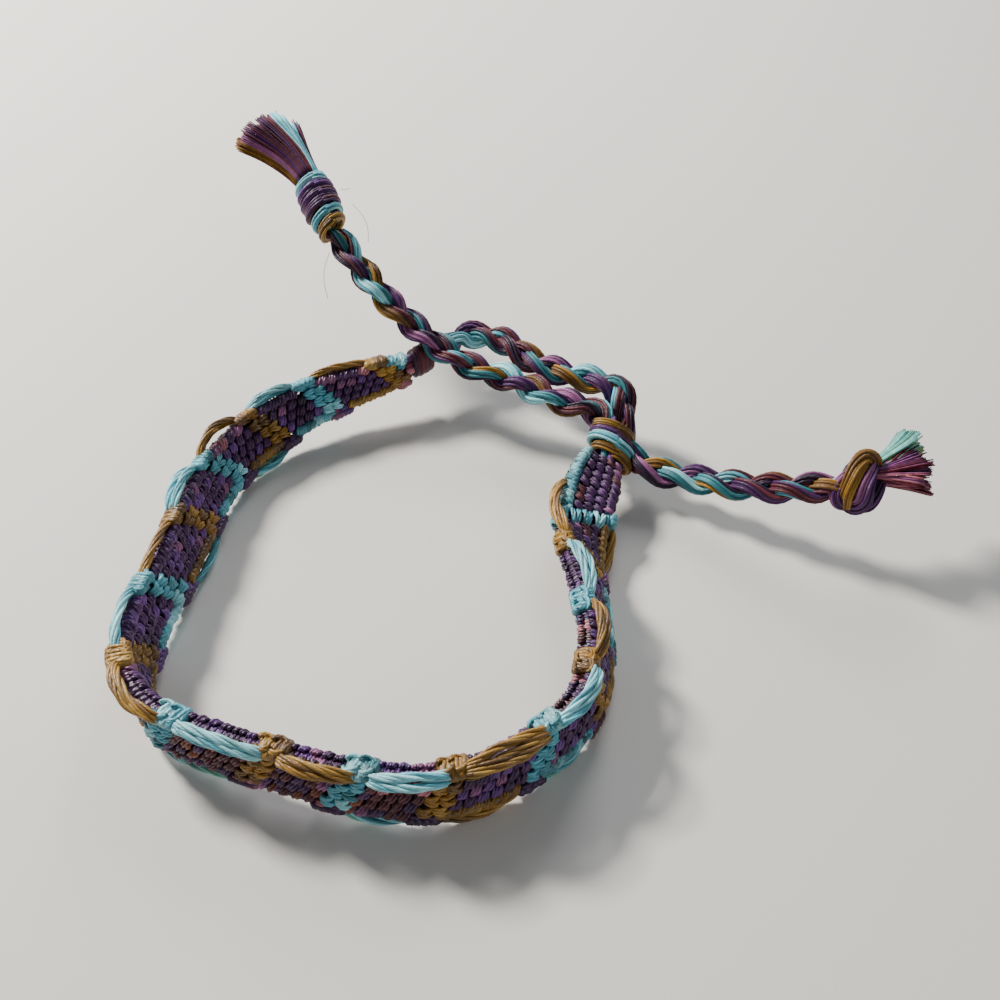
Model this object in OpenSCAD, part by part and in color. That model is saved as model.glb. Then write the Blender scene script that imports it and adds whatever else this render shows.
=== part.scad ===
// Friendship bracelet of knotted embroidery thread with two braided ties.
// Millimetres, +Z up. The band stands on its long edge as a loop on a flat surface.
// The origin is the middle of the footprint, at the height of that surface.

/* [Band] */
// Width of the band at its light bars
band_w = 7.4; // [7:0.1:7.8]
// Width of the band at its dark blocks
block_w = 5.8; // [5.2:0.1:6]
// Thickness of the band at its light bars
bar_t = 2.6; // [2.3:0.1:2.8]
// Thickness of the band at its dark blocks
block_t = 2.1; // [1.8:0.1:2.2]
// Length of a light bar along the band
bar_len = 2.8; // [2.4:0.1:3]
// How far the lower end of a bar lies behind its upper end
bar_slant = 3.6; // [2.8:0.1:3.8]

/* [Floats] */
// Width of the loose bundle of threads that runs past each dark block
float_w = 1.8; // [1.2:0.1:1.9]
// Thickness of that bundle
float_t = 1.1; // [0.8:0.1:1.1]
// How far the upper bundles bulge between their two bars, as a share of the bulges in the table below
upper_bulge = 1; // [0.6:0.1:1]
// How far the lower bundles bulge between their two bars
lower_bulge = 0.4; // [0.2:0.1:0.5]
// How far the upper bundles lie over the outer face round the front and right, as a share of the table below
float_droop = 1; // [0:0.1:1.1]

/* [Ties] */
// Diameter of one strand of a braided tie
strand_d = 1.25; // [1.1:0.05:1.25]
// Sideways swing of a strand from the middle of its braid
braid_swing = 1.3; // [1.2:0.05:1.4]
// Up and down swing of a strand from the middle of its braid
braid_lift = 1.1; // [1.1:0.05:1.2]
// Length of braid in which a strand comes back to its first side
braid_pitch = 14; // [13:0.5:15]

/* [Necks] */
// Width of the wrapped neck that the right tie slides through
neck_w = 7.2; // [7.1:0.1:7.4]
// Thickness of the wrapped neck that the right tie slides through
neck_t = 4.8; // [4.6:0.1:5.2]
// Number of turns of thread on each wrapped neck
neck_turns = 4; // [3:1:5]

/* [Knots and tassels] */
// Diameter of the barrel knot on the left tie
barrel_d = 4.9; // [4.4:0.1:5.2]
// Number of turns on the barrel knot
barrel_turns = 5; // [3:1:6]
// Height of the overhand knot on the right tie
overhand_d = 8; // [7:0.1:8.4]
// Diameter of one lock of a tassel where it leaves the knot
lock_d = 1.7; // [1.4:0.1:1.9]

/* [Hidden] */

// Moves the whole piece so that its footprint is centred and its lowest float is at zero.
to_origin = [-5.31, -1.79, -0.02];

AQUA = "#7fc4c4";
GOLD = "#a9782a";
PLUM = "#4b2a55";
MAROON = "#5a2b38";
MAUVE = "#8f5f8c";

// Middle line of the band from the left neck round the front to the right neck.
// Columns: x, y, z, lean of the upper edge outwards in degrees, share of the full width.
band_rows = [
    [-12.6, 18.4, 6.8, 12, 0.6],
    [-17.0, 16.6, 6.0, 22, 0.76],
    [-23.0, 14.0, 5.3, 33, 0.9],
    [-28.9, 9.9, 4.5, 38, 1],
    [-33.5, 4.6, 3.95, 38, 1],
    [-35.8, -2.0, 4.0, 34, 1],
    [-36.8, -9.0, 4.2, 30, 0.98],
    [-37.8, -16.0, 4.2, 26, 0.98],
    [-38.8, -23.0, 4.4, 24, 1],
    [-38.2, -29.8, 4.7, 12, 1],
    [-34.0, -35.2, 5.0, -4, 0.96],
    [-27.6, -38.0, 5.1, -9, 0.94],
    [-20.2, -40.4, 5.0, -13, 0.94],
    [-12.5, -42.3, 4.9, -15, 0.96],
    [-4.5, -42.3, 4.8, -15, 1],
    [2.8, -38.8, 4.7, -14, 1],
    [8.2, -33.6, 4.7, -16, 1],
    [10.2, -26.8, 4.6, -22, 1],
    [10.1, -19.8, 4.3, -30, 1],
    [9.5, -13.0, 3.7, -42, 1],
    [9.7, -7.0, 4.0, -54, 1.04],
    [11.3, -1.8, 4.6, -60, 1.1],
    [12.7, 2.4, 5.2, -52, 0.92]
];

// Places of the light bars along the middle line, from the left neck. They alternate gold, aqua.
bar_places = [4, 14, 22.5, 31, 40, 50.5, 60, 70, 81, 90, 99, 109.5, 118.5, 127, 136.5, 146];

// Middle line of the right tie, from the left neck to its knot. Columns: x, y, z.
right_tie_route = [
    [-9.4, 20.9, 6.95],
    [-7.6, 22.6, 7.0],
    [-5.0, 24.4, 7.4],
    [-1.6, 23.8, 7.8],
    [1.6, 21.4, 8.0],
    [4.8, 17.8, 7.9],
    [8.8, 15.6, 7.8],
    [12.4, 14.3, 7.8],
    [15.2, 12.6, 7.8],
    [16.0, 9.9, 7.0],
    [16.0, 7.2, 5.9],
    [16.4, 4.4, 4.7],
    [17.8, 2.4, 4.0],
    [20.6, 1.0, 3.9],
    [24.7, -0.8, 4.6],
    [29.5, -3.2, 6.0],
    [34.2, -5.2, 7.6],
    [38.4, -6.2, 9.0],
    [39.8, -6.4, 9.4]
];

// Middle line of the left tie, from the right neck to its knot. Columns: x, y, z.
left_tie_route = [
    [12.7, 8.7, 7.2],
    [11.2, 9.4, 7.5],
    [8.8, 10.0, 7.6],
    [6.2, 11.4, 7.7],
    [3.6, 13.2, 7.8],
    [0.6, 14.8, 8.0],
    [-2.6, 15.6, 8.5],
    [-6.0, 17.2, 9.4],
    [-9.2, 19.3, 10.7],
    [-12.6, 21.5, 12.5],
    [-15.8, 23.8, 14.8],
    [-18.8, 26.6, 17.2],
    [-21.0, 29.0, 19.2],
    [-22.0, 30.2, 20.1]
];

// Ends of the knots and of the wrapped necks, on their own middle lines.
barrel_from = [-22.4, 30.6, 20.4];
barrel_to = [-26.0, 37.4, 23.6];
overhand_from = [40.65, -6.5, 9.63];
overhand_to = [44.9, -5.6, 10.5];
left_neck_from = [-11.95, 18.75, 6.95];
left_neck_to = [-9.7, 20.6, 6.95];
right_neck_from = [13.8, 3.9, 4.9];
right_neck_to = [14.1, 7.4, 6.3];
right_neck_roll = 20;

// Locks of the tassels: how far each tip spreads sideways and upwards, and its length.
// Columns: sideways, upwards, length.
left_locks = [
    [6.0, -1.8, 8.0],
    [4.6, 0.4, 9.5],
    [3.0, -1.0, 10.0],
    [1.6, 0.8, 10.5],
    [0.0, -0.8, 11.0],
    [-1.4, 0.7, 11.0],
    [-2.8, -0.4, 10.5]
];
right_locks = [
    [4.0, 1.2, 4.6],
    [2.8, 0.2, 5.4],
    [1.2, 1.0, 6.4],
    [0.0, -0.8, 6.8],
    [-1.4, 0.6, 5.4],
    [-2.8, -0.8, 5.2]
];

// Least gap between pieces that touch in life.
clear = 0.17;

// Band: length over which a bar swells, and how square its section is (1 for an ellipse).
ramp = 0.9;
band_square = 0.6;
band_sides = 12;
ring_step = 1.15;

// Upper bundles: how far each bulges, from the left neck, and how they droop over the outer face.
// Columns of the droop: place along the band, degrees.
upper_bulges = [0.2, 0.8, 1.1, 0.8, 0.3, 0.7, 0.7, 0.6, 0.6, 0.6, 0.6, 0.6, 0.7, 0.7, 0.6];
droops = [[0, 0], [58, 0], [66, 40], [76, 50], [84, 58], [94, 55], [103, 40], [114, 50], [122, 58], [134, 55], [141, 25], [154, 10]];
// Lower bundles: the bars that they start from, counted from 0.
lower_aqua_from = [2, 4, 7, 9, 11, 13];
lower_gold_from = [10, 12, 14];
float_sides = 8;
float_rings = 7;

// Braids: share of full size at the ends, the length in which it grows, and the same in a neck's grip.
end_share = 0.75;
end_run = 3;
grip_share = 0.72;
grip_half = 1.2;
grip_run = 4;
right_tie_held = 37;
right_tie_reach = 5;
strand_sides = 6;
rings_a_pitch = 12;

// Wound pieces: half sizes, barrel-shaped swell and depth of the grooves as shares, and turns.
left_neck_half = [1.5, 2.2];
left_neck_swell = 0.2;
right_neck_swell = 0.1;
right_neck_shift = 0.85;
neck_groove = 0.09;
barrel_swell = 0.3;
barrel_groove = 0.12;
overhand_flat = 0.72;
overhand_swell = 0.45;
overhand_groove = 0.16;
overhand_turns = 2;
wound_sides = 14;
wound_steps = 4;

// Tassels: head diameters, flare of the head and of a lock, and how a lock bends away from the middle.
left_head_d = 3.4;
right_head_d = 3;
head_step = 0.8;
head_flare = 0.1;
lock_start = 0.3;
lock_flare = 0.15;
lock_bend = 0.75;
lock_sides = 6;
lock_rings = 5;

// Sampling of the middle lines.
samples_a_row = 8;
fine = 0.05;

// Smooth curve through four rows, at share t between the second and the third.
function blend4(a, b, c, d, t) =
    0.5 * (2 * b + (c - a) * t + (2 * a - 5 * b + 4 * c - d) * t * t + (3 * b - a - 3 * c + d) * t * t * t);

// Row of a table at the parameter u, which counts its rows from zero.
function row_at(rows, u) =
    let (last = len(rows) - 1)
    let (i = max(0, min(floor(u), last - 1)))
    let (before = i > 0 ? rows[i - 1] : 2 * rows[0] - rows[1])
    let (after = i < last - 1 ? rows[i + 2] : 2 * rows[last] - rows[last - 1])
    blend4(before, rows[i], rows[i + 1], after, u - i);

function place(row) = [row[0], row[1], row[2]];

// Pairs of length along the curve and its parameter, for lookup.
function length_table(rows) =
    let (count = (len(rows) - 1) * samples_a_row)
    let (points = [for (k = [0 : count]) place(row_at(rows, k / samples_a_row))])
    let (steps = [for (k = [1 : count]) norm(points[k] - points[k - 1])])
    [for (k = 0, run = 0; k <= count; run = run + (k < count ? steps[k] : 0), k = k + 1)
        [run, k / samples_a_row]];

function total_length(table) = table[len(table) - 1][0];
function unit(v) = v / norm(v);
function smooth(x) = let (c = max(0, min(1, x))) c * c * (3 - 2 * c);
function rounded(x, power) = sign(x) * pow(abs(x), power);

band_table = length_table(band_rows);
band_len = total_length(band_table);
right_table = length_table(right_tie_route);
left_table = length_table(left_tie_route);

function band_row(s) = row_at(band_rows, lookup(s, band_table));
function point_along(rows, table, s) = place(row_at(rows, lookup(s, table)));
function heading(rows, table, s) =
    unit(point_along(rows, table, min(s + fine, total_length(table)))
        - point_along(rows, table, max(s - fine, 0)));

// Frame of the band at length s: its place, the direction across its width and the outward one.
function band_frame(s) =
    let (row = band_row(s))
    let (along = heading(band_rows, band_table, s))
    let (out = unit(cross([0, 0, 1], along) * -1))
    let (leaning = sin(row[3]) * out + cos(row[3]) * [0, 0, 1])
    let (across = unit(leaning - (leaning * along) * along))
    [place(row), across, cross(across, along) * -1, row[4]];

// Share of bar at length s: 1 on a light bar and 0 on a dark block.
function bar_share(s) =
    let (off = min([for (b = bar_places) abs(s - b)]))
    smooth((bar_len / 2 + ramp / 2 - off) / ramp);

// One ring of the band. The phase runs with the slant of the bars, so their ends are staggered.
function band_ring(s) =
    let (frame = band_frame(s))
    [for (i = [0 : band_sides - 1])
        let (angle = 360 * (i + 0.5) / band_sides)
        let (side = rounded(cos(angle), band_square))
        let (share = bar_share(s + bar_slant * (1 - side) / 2))
        let (half_w = (block_w + (band_w - block_w) * share) / 2 * frame[3])
        let (half_t = (block_t + (bar_t - block_t) * share) / 2)
        frame[0] + frame[1] * half_w * side + frame[2] * half_t * rounded(sin(angle), band_square)];

// Two directions square to a heading: the first level and to its left, the second upwards.
function square_pair(along) =
    let (side = unit(cross([0, 0, 1], along)))
    [side, cross(along, side)];

function turned(pair, roll) = [
    pair[0] * cos(roll) + pair[1] * sin(roll),
    pair[1] * cos(roll) - pair[0] * sin(roll)
];

// Ring of points round a place, in the plane of two directions.
function ring(centre, pair, half_a, half_b, sides) =
    [for (i = [0 : sides - 1])
        centre + pair[0] * half_a * cos(360 * i / sides) + pair[1] * half_b * sin(360 * i / sides)];

// Solid through rings of equal count, closed with a flat face at each end.
module loft(rings) {
    sides = len(rings[0]);
    last = len(rings) - 1;
    walls = [
        for (k = [0 : last - 1])
            for (i = [0 : sides - 1])
                let (j = (i + 1) % sides)
                each [
                    [k * sides + i, (k + 1) * sides + i, k * sides + j],
                    [k * sides + j, (k + 1) * sides + i, (k + 1) * sides + j]
                ]
    ];
    first_face = [for (i = [0 : sides - 1]) i];
    last_face = [for (i = [sides - 1 : -1 : 0]) last * sides + i];
    polyhedron(points = [for (r = rings) each r], faces = concat([first_face], [last_face], walls));
}

module woven_band() {
    count = round(band_len / ring_step);
    color(PLUM)
        translate(to_origin)
            loft([for (k = [0 : count]) band_ring(band_len * k / count)]);
}

// How far round the edge a bundle lies at length s: level with the face at 0, over the outer face at 90.
function droop_at(s, edge) = edge > 0 ? float_droop * lookup(s, droops) : 0;

// Bundle from one bar to the next along the upper (edge 1) or lower (edge -1) side of the band.
module float(index, edge) {
    shift = edge > 0 ? 0 : -bar_slant;
    reach = bar_len / 2 + ramp / 2 + 2 * clear;
    bulge = edge > 0 ? upper_bulge * upper_bulges[index] : lower_bulge;
    start = bar_places[index] + reach + shift;
    end = bar_places[index + 1] - reach + shift;
    rings = [
        for (k = [0 : float_rings - 1])
            let (t = k / (float_rings - 1))
            let (s = start + (end - start) * t)
            let (frame = band_frame(s))
            let (droop = droop_at(s, edge))
            let (away = frame[1] * edge * cos(droop) + frame[2] * sin(droop))
            let (beside = frame[1] * edge * -sin(droop) + frame[2] * cos(droop))
            let (core = (block_w * frame[3] - block_t) / 2)
            let (off = (block_t + float_t) / 2 + 1.5 * clear + bulge * sin(180 * t))
            ring(frame[0] + frame[1] * edge * core + away * off, [away * edge, beside],
                float_t / 2, float_w / 2, float_sides)
    ];
    loft(rings);
}

// All bundles of one colour on one edge, by the bars that they start from.
module floats(bars, edge, tint) {
    color(tint)
        translate(to_origin)
            for (index = bars)
                float(index, edge);
}

module upper_floats_aqua() floats([1 : 2 : len(bar_places) - 2], 1, AQUA);
module upper_floats_gold() floats([0 : 2 : len(bar_places) - 2], 1, GOLD);
module lower_floats_aqua() floats(lower_aqua_from, -1, AQUA);
module lower_floats_gold() floats(lower_gold_from, -1, GOLD);

// How full the braid is at length s: it is drawn in at both ends and where a neck holds it.
function fullness(s, total, held) =
    let (ends = end_share + (1 - end_share) * smooth(min(s, total - s) / end_run))
    let (near = held > 0 ? smooth((grip_half + grip_run - abs(s - held)) / grip_run) : 0)
    ends * (1 - (1 - grip_share) * near);

// Strand 1 to 3 of a braid: it swings from side to side once while it goes up and down twice.
module strand(route, table, number, held, tint) {
    total = total_length(table);
    count = round(total / braid_pitch * rings_a_pitch);
    rings = [
        for (k = [0 : count])
            let (s = total * k / count)
            let (full = fullness(s, total, held))
            let (pair = square_pair(heading(route, table, s)))
            let (turn = 360 * (s / braid_pitch + number / 3))
            let (middle = point_along(route, table, s))
            middle + full * (pair[0] * braid_swing * sin(turn) + pair[1] * braid_lift * sin(2 * turn))
    ];
    last = len(rings) - 1;
    color(tint)
        translate(to_origin)
            loft([
                for (k = [0 : last])
                    let (along = unit(rings[min(k + 1, last)] - rings[max(k - 1, 0)]))
                    let (radius = strand_d / 2 * fullness(total * k / count, total, held))
                    ring(rings[k], square_pair(along), radius, radius, strand_sides)
            ]);
}

module right_tie_strand_1() strand(right_tie_route, right_table, 1, right_tie_held, AQUA);
module right_tie_strand_2() strand(right_tie_route, right_table, 2, right_tie_held, PLUM);
module right_tie_strand_3() strand(right_tie_route, right_table, 3, right_tie_held, GOLD);
module left_tie_strand_1() strand(left_tie_route, left_table, 1, 0, PLUM);
module left_tie_strand_2() strand(left_tie_route, left_table, 2, 0, AQUA);
module left_tie_strand_3() strand(left_tie_route, left_table, 3, 0, GOLD);

// Ridge of wound thread at share t along a winding of a number of turns, at an angle round it.
function wound(t, turns, angle) = abs(sin(180 * turns * t + angle / 2));

// Rings of a wound solid from one point to another. Its outline swells by a barrel shape.
function wound_rings(from, to, half, swell, turns, groove, roll = 0) =
    let (pair = turned(square_pair(unit(to - from)), roll))
    let (count = turns * wound_steps)
    [for (k = [0 : count])
        let (t = k / count)
        let (size = 1 - swell + swell * sin(180 * (0.12 + 0.76 * t)))
        [for (i = [0 : wound_sides - 1])
            let (angle = 360 * i / wound_sides)
            let (r = size - groove * (1 - wound(t, turns, angle)))
            let (away = pair[0] * half[0] * cos(angle) + pair[1] * half[1] * sin(angle))
            from + (to - from) * t + away * r]];

module left_neck_wrap() {
    color(MAROON)
        translate(to_origin)
            loft(wound_rings(left_neck_from, left_neck_to, left_neck_half, left_neck_swell, neck_turns,
                neck_groove));
}

// The channel that the right tie slides through: as wide as its braid, with room all round.
module tie_channel() {
    total = total_length(right_table);
    loft([
        for (s = [right_tie_held - right_tie_reach : ring_step : right_tie_held + right_tie_reach])
            let (full = fullness(s, total, right_tie_held))
            ring(point_along(right_tie_route, right_table, s),
                square_pair(heading(right_tie_route, right_table, s)),
                full * (braid_swing + strand_d / 2) + 2 * clear,
                full * (braid_lift + strand_d / 2) + 2 * clear, wound_sides)
    ]);
}

module right_neck_wrap() {
    pair = turned(square_pair(unit(right_neck_to - right_neck_from)), right_neck_roll);
    shift = pair[0] * -right_neck_shift;
    color(GOLD)
        translate(to_origin)
            difference() {
                loft(wound_rings(right_neck_from + shift, right_neck_to + shift, [neck_w, neck_t] / 2,
                    right_neck_swell, neck_turns, neck_groove, right_neck_roll));
                tie_channel();
            }
}

module left_tie_knot() {
    color(PLUM)
        translate(to_origin)
            loft(wound_rings(barrel_from, barrel_to, [barrel_d, barrel_d] / 2, barrel_swell, barrel_turns,
                barrel_groove));
}

module right_tie_knot() {
    color(GOLD)
        translate(to_origin)
            loft(wound_rings(overhand_from, overhand_to, [overhand_d * overhand_flat, overhand_d] / 2,
                overhand_swell, overhand_turns, overhand_groove));
}

// Tassel: a short head at the knot, with locks that spread to their own tips.
module tassel(knot_from, knot_to, head_d, locks) {
    along = unit(knot_to - knot_from);
    from = knot_to + along * clear;
    pair = square_pair(along);
    color(MAUVE)
        translate(to_origin)
            union() {
                loft([
                    for (k = [0 : 2])
                        let (half_a = head_d / 2 * (1 + head_flare * k))
                        ring(from + along * k * head_step, pair, half_a, head_d / 2, wound_sides)
                ]);
                for (lock = locks)
                    loft([
                        for (k = [0 : lock_rings - 1])
                            let (t = k / (lock_rings - 1))
                            let (away = pair[0] * lock[0] + pair[1] * lock[1])
                            let (reach = lock_start + (lock[2] - lock_start) * t)
                            ring(from + along * reach + away * t * (1 - lock_bend + lock_bend * t), pair,
                                lock_d / 2 * (1 + lock_flare * t), lock_d / 2, lock_sides)
                    ]);
            }
}

module left_tie_tassel() tassel(barrel_from, barrel_to, left_head_d, left_locks);
module right_tie_tassel() tassel(overhand_from, overhand_to, right_head_d, right_locks);

woven_band();
upper_floats_aqua();
upper_floats_gold();
lower_floats_aqua();
lower_floats_gold();
left_neck_wrap();
right_neck_wrap();
right_tie_strand_1();
right_tie_strand_2();
right_tie_strand_3();
right_tie_knot();
right_tie_tassel();
left_tie_strand_1();
left_tie_strand_2();
left_tie_strand_3();
left_tie_knot();
left_tie_tassel();
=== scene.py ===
"""Friendship bracelet of knotted embroidery floss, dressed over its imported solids.

Everything is made of threads: the knots of the band, the floats along its edges, the wrapped necks, the
braided ties, their knots and their tassels. A thread is a tube swept along a path, and a floss is a few such
plies that wind round one another. Lengths are in millimetres on the axes of the part's source, until
TO_FRAME and MM bring a mesh to the frame.
"""
import logging
import math
from dataclasses import dataclass, field
from enum import Enum
from typing import Sequence

import bpy
import numpy as np
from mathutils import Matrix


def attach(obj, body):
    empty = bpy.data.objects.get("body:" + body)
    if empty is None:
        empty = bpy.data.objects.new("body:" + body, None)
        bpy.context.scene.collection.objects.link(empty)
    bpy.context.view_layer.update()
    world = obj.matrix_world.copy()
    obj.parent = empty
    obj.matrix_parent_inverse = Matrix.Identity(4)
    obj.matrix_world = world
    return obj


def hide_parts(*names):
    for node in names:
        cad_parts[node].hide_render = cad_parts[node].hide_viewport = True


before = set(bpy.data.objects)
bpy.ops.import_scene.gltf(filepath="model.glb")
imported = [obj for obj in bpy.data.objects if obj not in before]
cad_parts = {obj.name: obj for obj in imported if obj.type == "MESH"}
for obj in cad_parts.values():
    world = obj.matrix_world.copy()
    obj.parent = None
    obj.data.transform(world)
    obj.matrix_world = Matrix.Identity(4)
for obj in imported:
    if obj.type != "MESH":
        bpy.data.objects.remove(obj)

LOG = logging.getLogger("friendship_bracelet")

Array = np.ndarray
Rows = Sequence[Sequence[float]]
Pair = tuple[float, float]
Triple = tuple[float, float, float]
Knots = dict[str, Array]
Thing = bpy.types.Object
Socket = bpy.types.NodeSocket
Inputs = dict[str | int, object]

MM = 0.001
TO_FRAME = np.array([-5.31, -1.79, -0.02])
BODY = "root"
THREAD_MAP = "along_thread"
SEED = 1126
UP = np.array([0.0, 0.0, 1.0])
TURN = 2.0 * math.pi
PAIR = np.array([-1.0, 1.0])  # the two loops of a knot
SAMPLES_A_ROW = 8  # points between two rows of a route at which its length is measured
FINE = 0.05  # half length over which the heading of a route is taken

# Middle line of the band. Columns: x, y, z, lean of the upper edge outwards in degrees, share of full width.
BAND_ROWS = (
    (-12.6, 18.4, 6.8, 12, 0.6), (-17.0, 16.6, 6.0, 22, 0.76), (-23.0, 14.0, 5.3, 33, 0.9),
    (-28.9, 9.9, 4.5, 38, 1), (-33.5, 4.6, 3.95, 38, 1), (-35.8, -2.0, 4.0, 34, 1),
    (-36.8, -9.0, 4.2, 30, 0.98), (-37.8, -16.0, 4.2, 26, 0.98), (-38.8, -23.0, 4.4, 24, 1),
    (-38.2, -29.8, 4.7, 12, 1), (-34.0, -35.2, 5.0, -4, 0.96), (-27.6, -38.0, 5.1, -9, 0.94),
    (-20.2, -40.4, 5.0, -13, 0.94), (-12.5, -42.3, 4.9, -15, 0.96), (-4.5, -42.3, 4.8, -15, 1),
    (2.8, -38.8, 4.7, -14, 1), (8.2, -33.6, 4.7, -16, 1), (10.2, -26.8, 4.6, -22, 1),
    (10.1, -19.8, 4.3, -30, 1), (9.5, -13.0, 3.7, -45, 1), (10.0, -7.0, 4.0, -66, 1.1),
    (11.4, -1.8, 4.6, -72, 1.12), (12.6, 2.2, 5.1, -62, 0.88),
)

# Places of the light bars along the middle line, from the left neck. They alternate gold, aqua.
BAR_PLACES = np.array([4, 14, 22.5, 31, 40, 50.5, 60, 70, 81, 90, 99, 109.5, 118.5, 127, 136.5, 146])

# How far each upper float bulges, from the left neck, and how they droop over the outer face.
UPPER_BULGES = (0.2, 0.5, 1.1, 0.7, 0.3, 0.7, 0.7, 0.6, 0.6, 0.6, 0.6, 0.6, 0.7, 0.7, 0.6)
LOWER_BULGE = 0.4
DROOP_PLACES = (0, 58, 66, 76, 84, 94, 103, 114, 122, 134, 141, 154)
DROOP_DEGREES = (0, 0, 40, 50, 58, 55, 40, 50, 58, 55, 25, 10)

# Middle lines of the two ties, each from its neck to its knot. Columns: x, y, z.
RIGHT_TIE_ROUTE = (
    (-9.4, 20.9, 6.95), (-7.6, 22.6, 7.0), (-5.0, 24.4, 7.4), (-1.6, 23.8, 7.8), (1.6, 21.4, 8.0),
    (4.8, 17.8, 7.9), (8.8, 15.6, 7.8), (12.4, 14.3, 7.8), (15.2, 12.6, 7.8), (16.0, 9.9, 7.0),
    (16.0, 7.2, 5.9), (16.4, 4.4, 4.7), (17.8, 2.4, 4.0), (20.6, 1.0, 3.9), (24.7, -0.8, 4.6),
    (29.5, -3.2, 6.0), (34.2, -5.2, 7.6), (38.4, -6.2, 9.0), (39.8, -6.4, 9.4),
)
LEFT_TIE_ROUTE = (
    (13.4, 6.8, 6.3), (12.6, 8.6, 7.1), (11.2, 9.4, 7.5), (8.8, 10.0, 7.6), (6.2, 11.4, 7.7),
    (3.6, 13.2, 7.8), (0.6, 14.8, 8.0), (-2.6, 15.6, 8.5), (-6.0, 17.2, 9.4), (-9.2, 19.3, 10.7),
    (-12.6, 21.5, 12.5), (-15.8, 23.8, 14.8), (-18.8, 26.6, 17.2), (-21.0, 29.0, 19.2), (-22.0, 30.2, 20.1),
)

# Ends of the wrapped necks and of the knots, on their own middle lines.
LEFT_NECK_ENDS = ((-11.95, 18.75, 6.95), (-9.7, 20.6, 6.95))
RIGHT_NECK_ENDS = ((13.35, 3.1, 4.75), (13.75, 6.7, 6.1))
BARREL_ENDS = ((-22.4, 30.6, 20.4), (-26.0, 37.4, 23.6))
OVERHAND_ENDS = ((39.3, -6.5, 9.4), (43.6, -5.5, 10.2))

# Bundles of the overhand knot: the gold arch, the front, the right, the left, the core and the back.
# Columns: x, y, z, radius.
OVERHAND_BENDS = (
    (
        (40.4, -8.3, 7.9, 0.75), (40.0, -8.2, 9.6, 0.8), (40.3, -7.4, 11.2, 0.85), (41.0, -6.1, 12.1, 0.9),
        (42.1, -4.9, 12.4, 0.95), (43.5, -4.3, 11.6, 0.85), (44.2, -4.4, 10.4, 0.7),
    ),
    (
        (43.4, -4.7, 11.3, 0.65), (42.5, -6.6, 11.2, 0.95), (41.9, -8.0, 10.6, 1.05),
        (41.7, -8.8, 9.2, 1.05), (41.1, -8.6, 8.1, 0.9), (40.2, -8.0, 7.8, 0.6),
    ),
    (
        (44.0, -4.4, 10.6, 0.6), (44.1, -6.2, 10.0, 0.8), (43.5, -7.6, 9.3, 0.85), (42.8, -8.3, 8.1, 0.8),
        (41.8, -8.2, 7.5, 0.6),
    ),
    (
        (41.4, -4.9, 10.3, 0.6), (39.8, -6.5, 10.1, 0.75), (39.1, -7.6, 9.4, 0.8), (39.5, -8.2, 8.4, 0.8),
        (41.0, -7.9, 7.5, 0.6),
    ),
    ((38.6, -6.8, 9.1, 1.0), (39.8, -6.9, 9.3, 1.2), (41.5, -6.7, 10.0, 1.6), (43.2, -5.8, 10.1, 1.0)),
    (
        (40.6, -6.5, 8.2, 0.7), (41.2, -4.7, 9.7, 0.8), (42.7, -3.8, 10.3, 0.8), (44.0, -4.3, 9.8, 0.8),
        (44.2, -5.7, 8.7, 0.8), (43.0, -7.0, 7.7, 0.8), (40.9, -7.1, 7.6, 0.7),
    ),
)

# Where the cut ends of the tassels go. Columns: place across the knot from -1 on the right to 1 on the left,
# how far the tip spreads to the left, how far it stands from the knot.
LEFT_LOCKS = (
    (-1.0, -1.8, 9.2), (-0.86, -0.6, 9.6), (-0.85, 0.4, 10.7), (-0.6, 1.2, 10.7), (-0.3, 2.1, 10.5),
    (0.0, 3.1, 10.1), (0.4, 4.3, 9.5), (0.7, 5.2, 8.9), (1.0, 6.0, 8.2),
)
RIGHT_LOCKS = (
    (-1.0, -4.6, 4.6), (-0.41, -2.7, 4.7), (-0.4, -1.9, 5.7), (-0.2, -1.0, 5.9), (0.0, 0.1, 5.8),
    (0.22, 1.1, 5.5), (0.23, 1.9, 6.8), (0.32, 2.4, 6.8), (0.33, 3.0, 6.7), (1.0, 4.4, 5.9),
)

# Loose hairs beside the barrel knot. Columns: start, end, how far it bows.
HAIRS = (
    (-20.0, 34.2, 22.0, -17.6, 28.9, 19.5, -0.14),
    (-22.6, 27.3, 19.0, -22.8, 22.6, 15.0, 0.14),
    (-21.6, 35.5, 23.5, -20.3, 35.7, 23.5, 0.2),
)


class Floss(Enum):
    """Colours of the flosses, as linear red, green and blue."""

    AQUA = (0.09, 0.36, 0.44)
    PALE_AQUA = (0.26, 0.60, 0.65)
    TEAL = (0.035, 0.19, 0.22)
    GOLD = (0.26, 0.125, 0.010)
    PALE_GOLD = (0.35, 0.19, 0.024)
    OCHRE = (0.14, 0.064, 0.010)
    STRAW = (0.55, 0.48, 0.13)
    SEA = (0.15, 0.40, 0.31)
    PLUM = (0.065, 0.014, 0.085)
    VIOLET = (0.13, 0.04, 0.21)
    AUBERGINE = (0.024, 0.006, 0.03)
    MAUVE = (0.25, 0.08, 0.2)
    ROSE = (0.42, 0.14, 0.18)
    MAROON = (0.095, 0.015, 0.026)
    BRICK = (0.19, 0.045, 0.018)


Flosses = tuple[Floss, ...]

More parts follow.
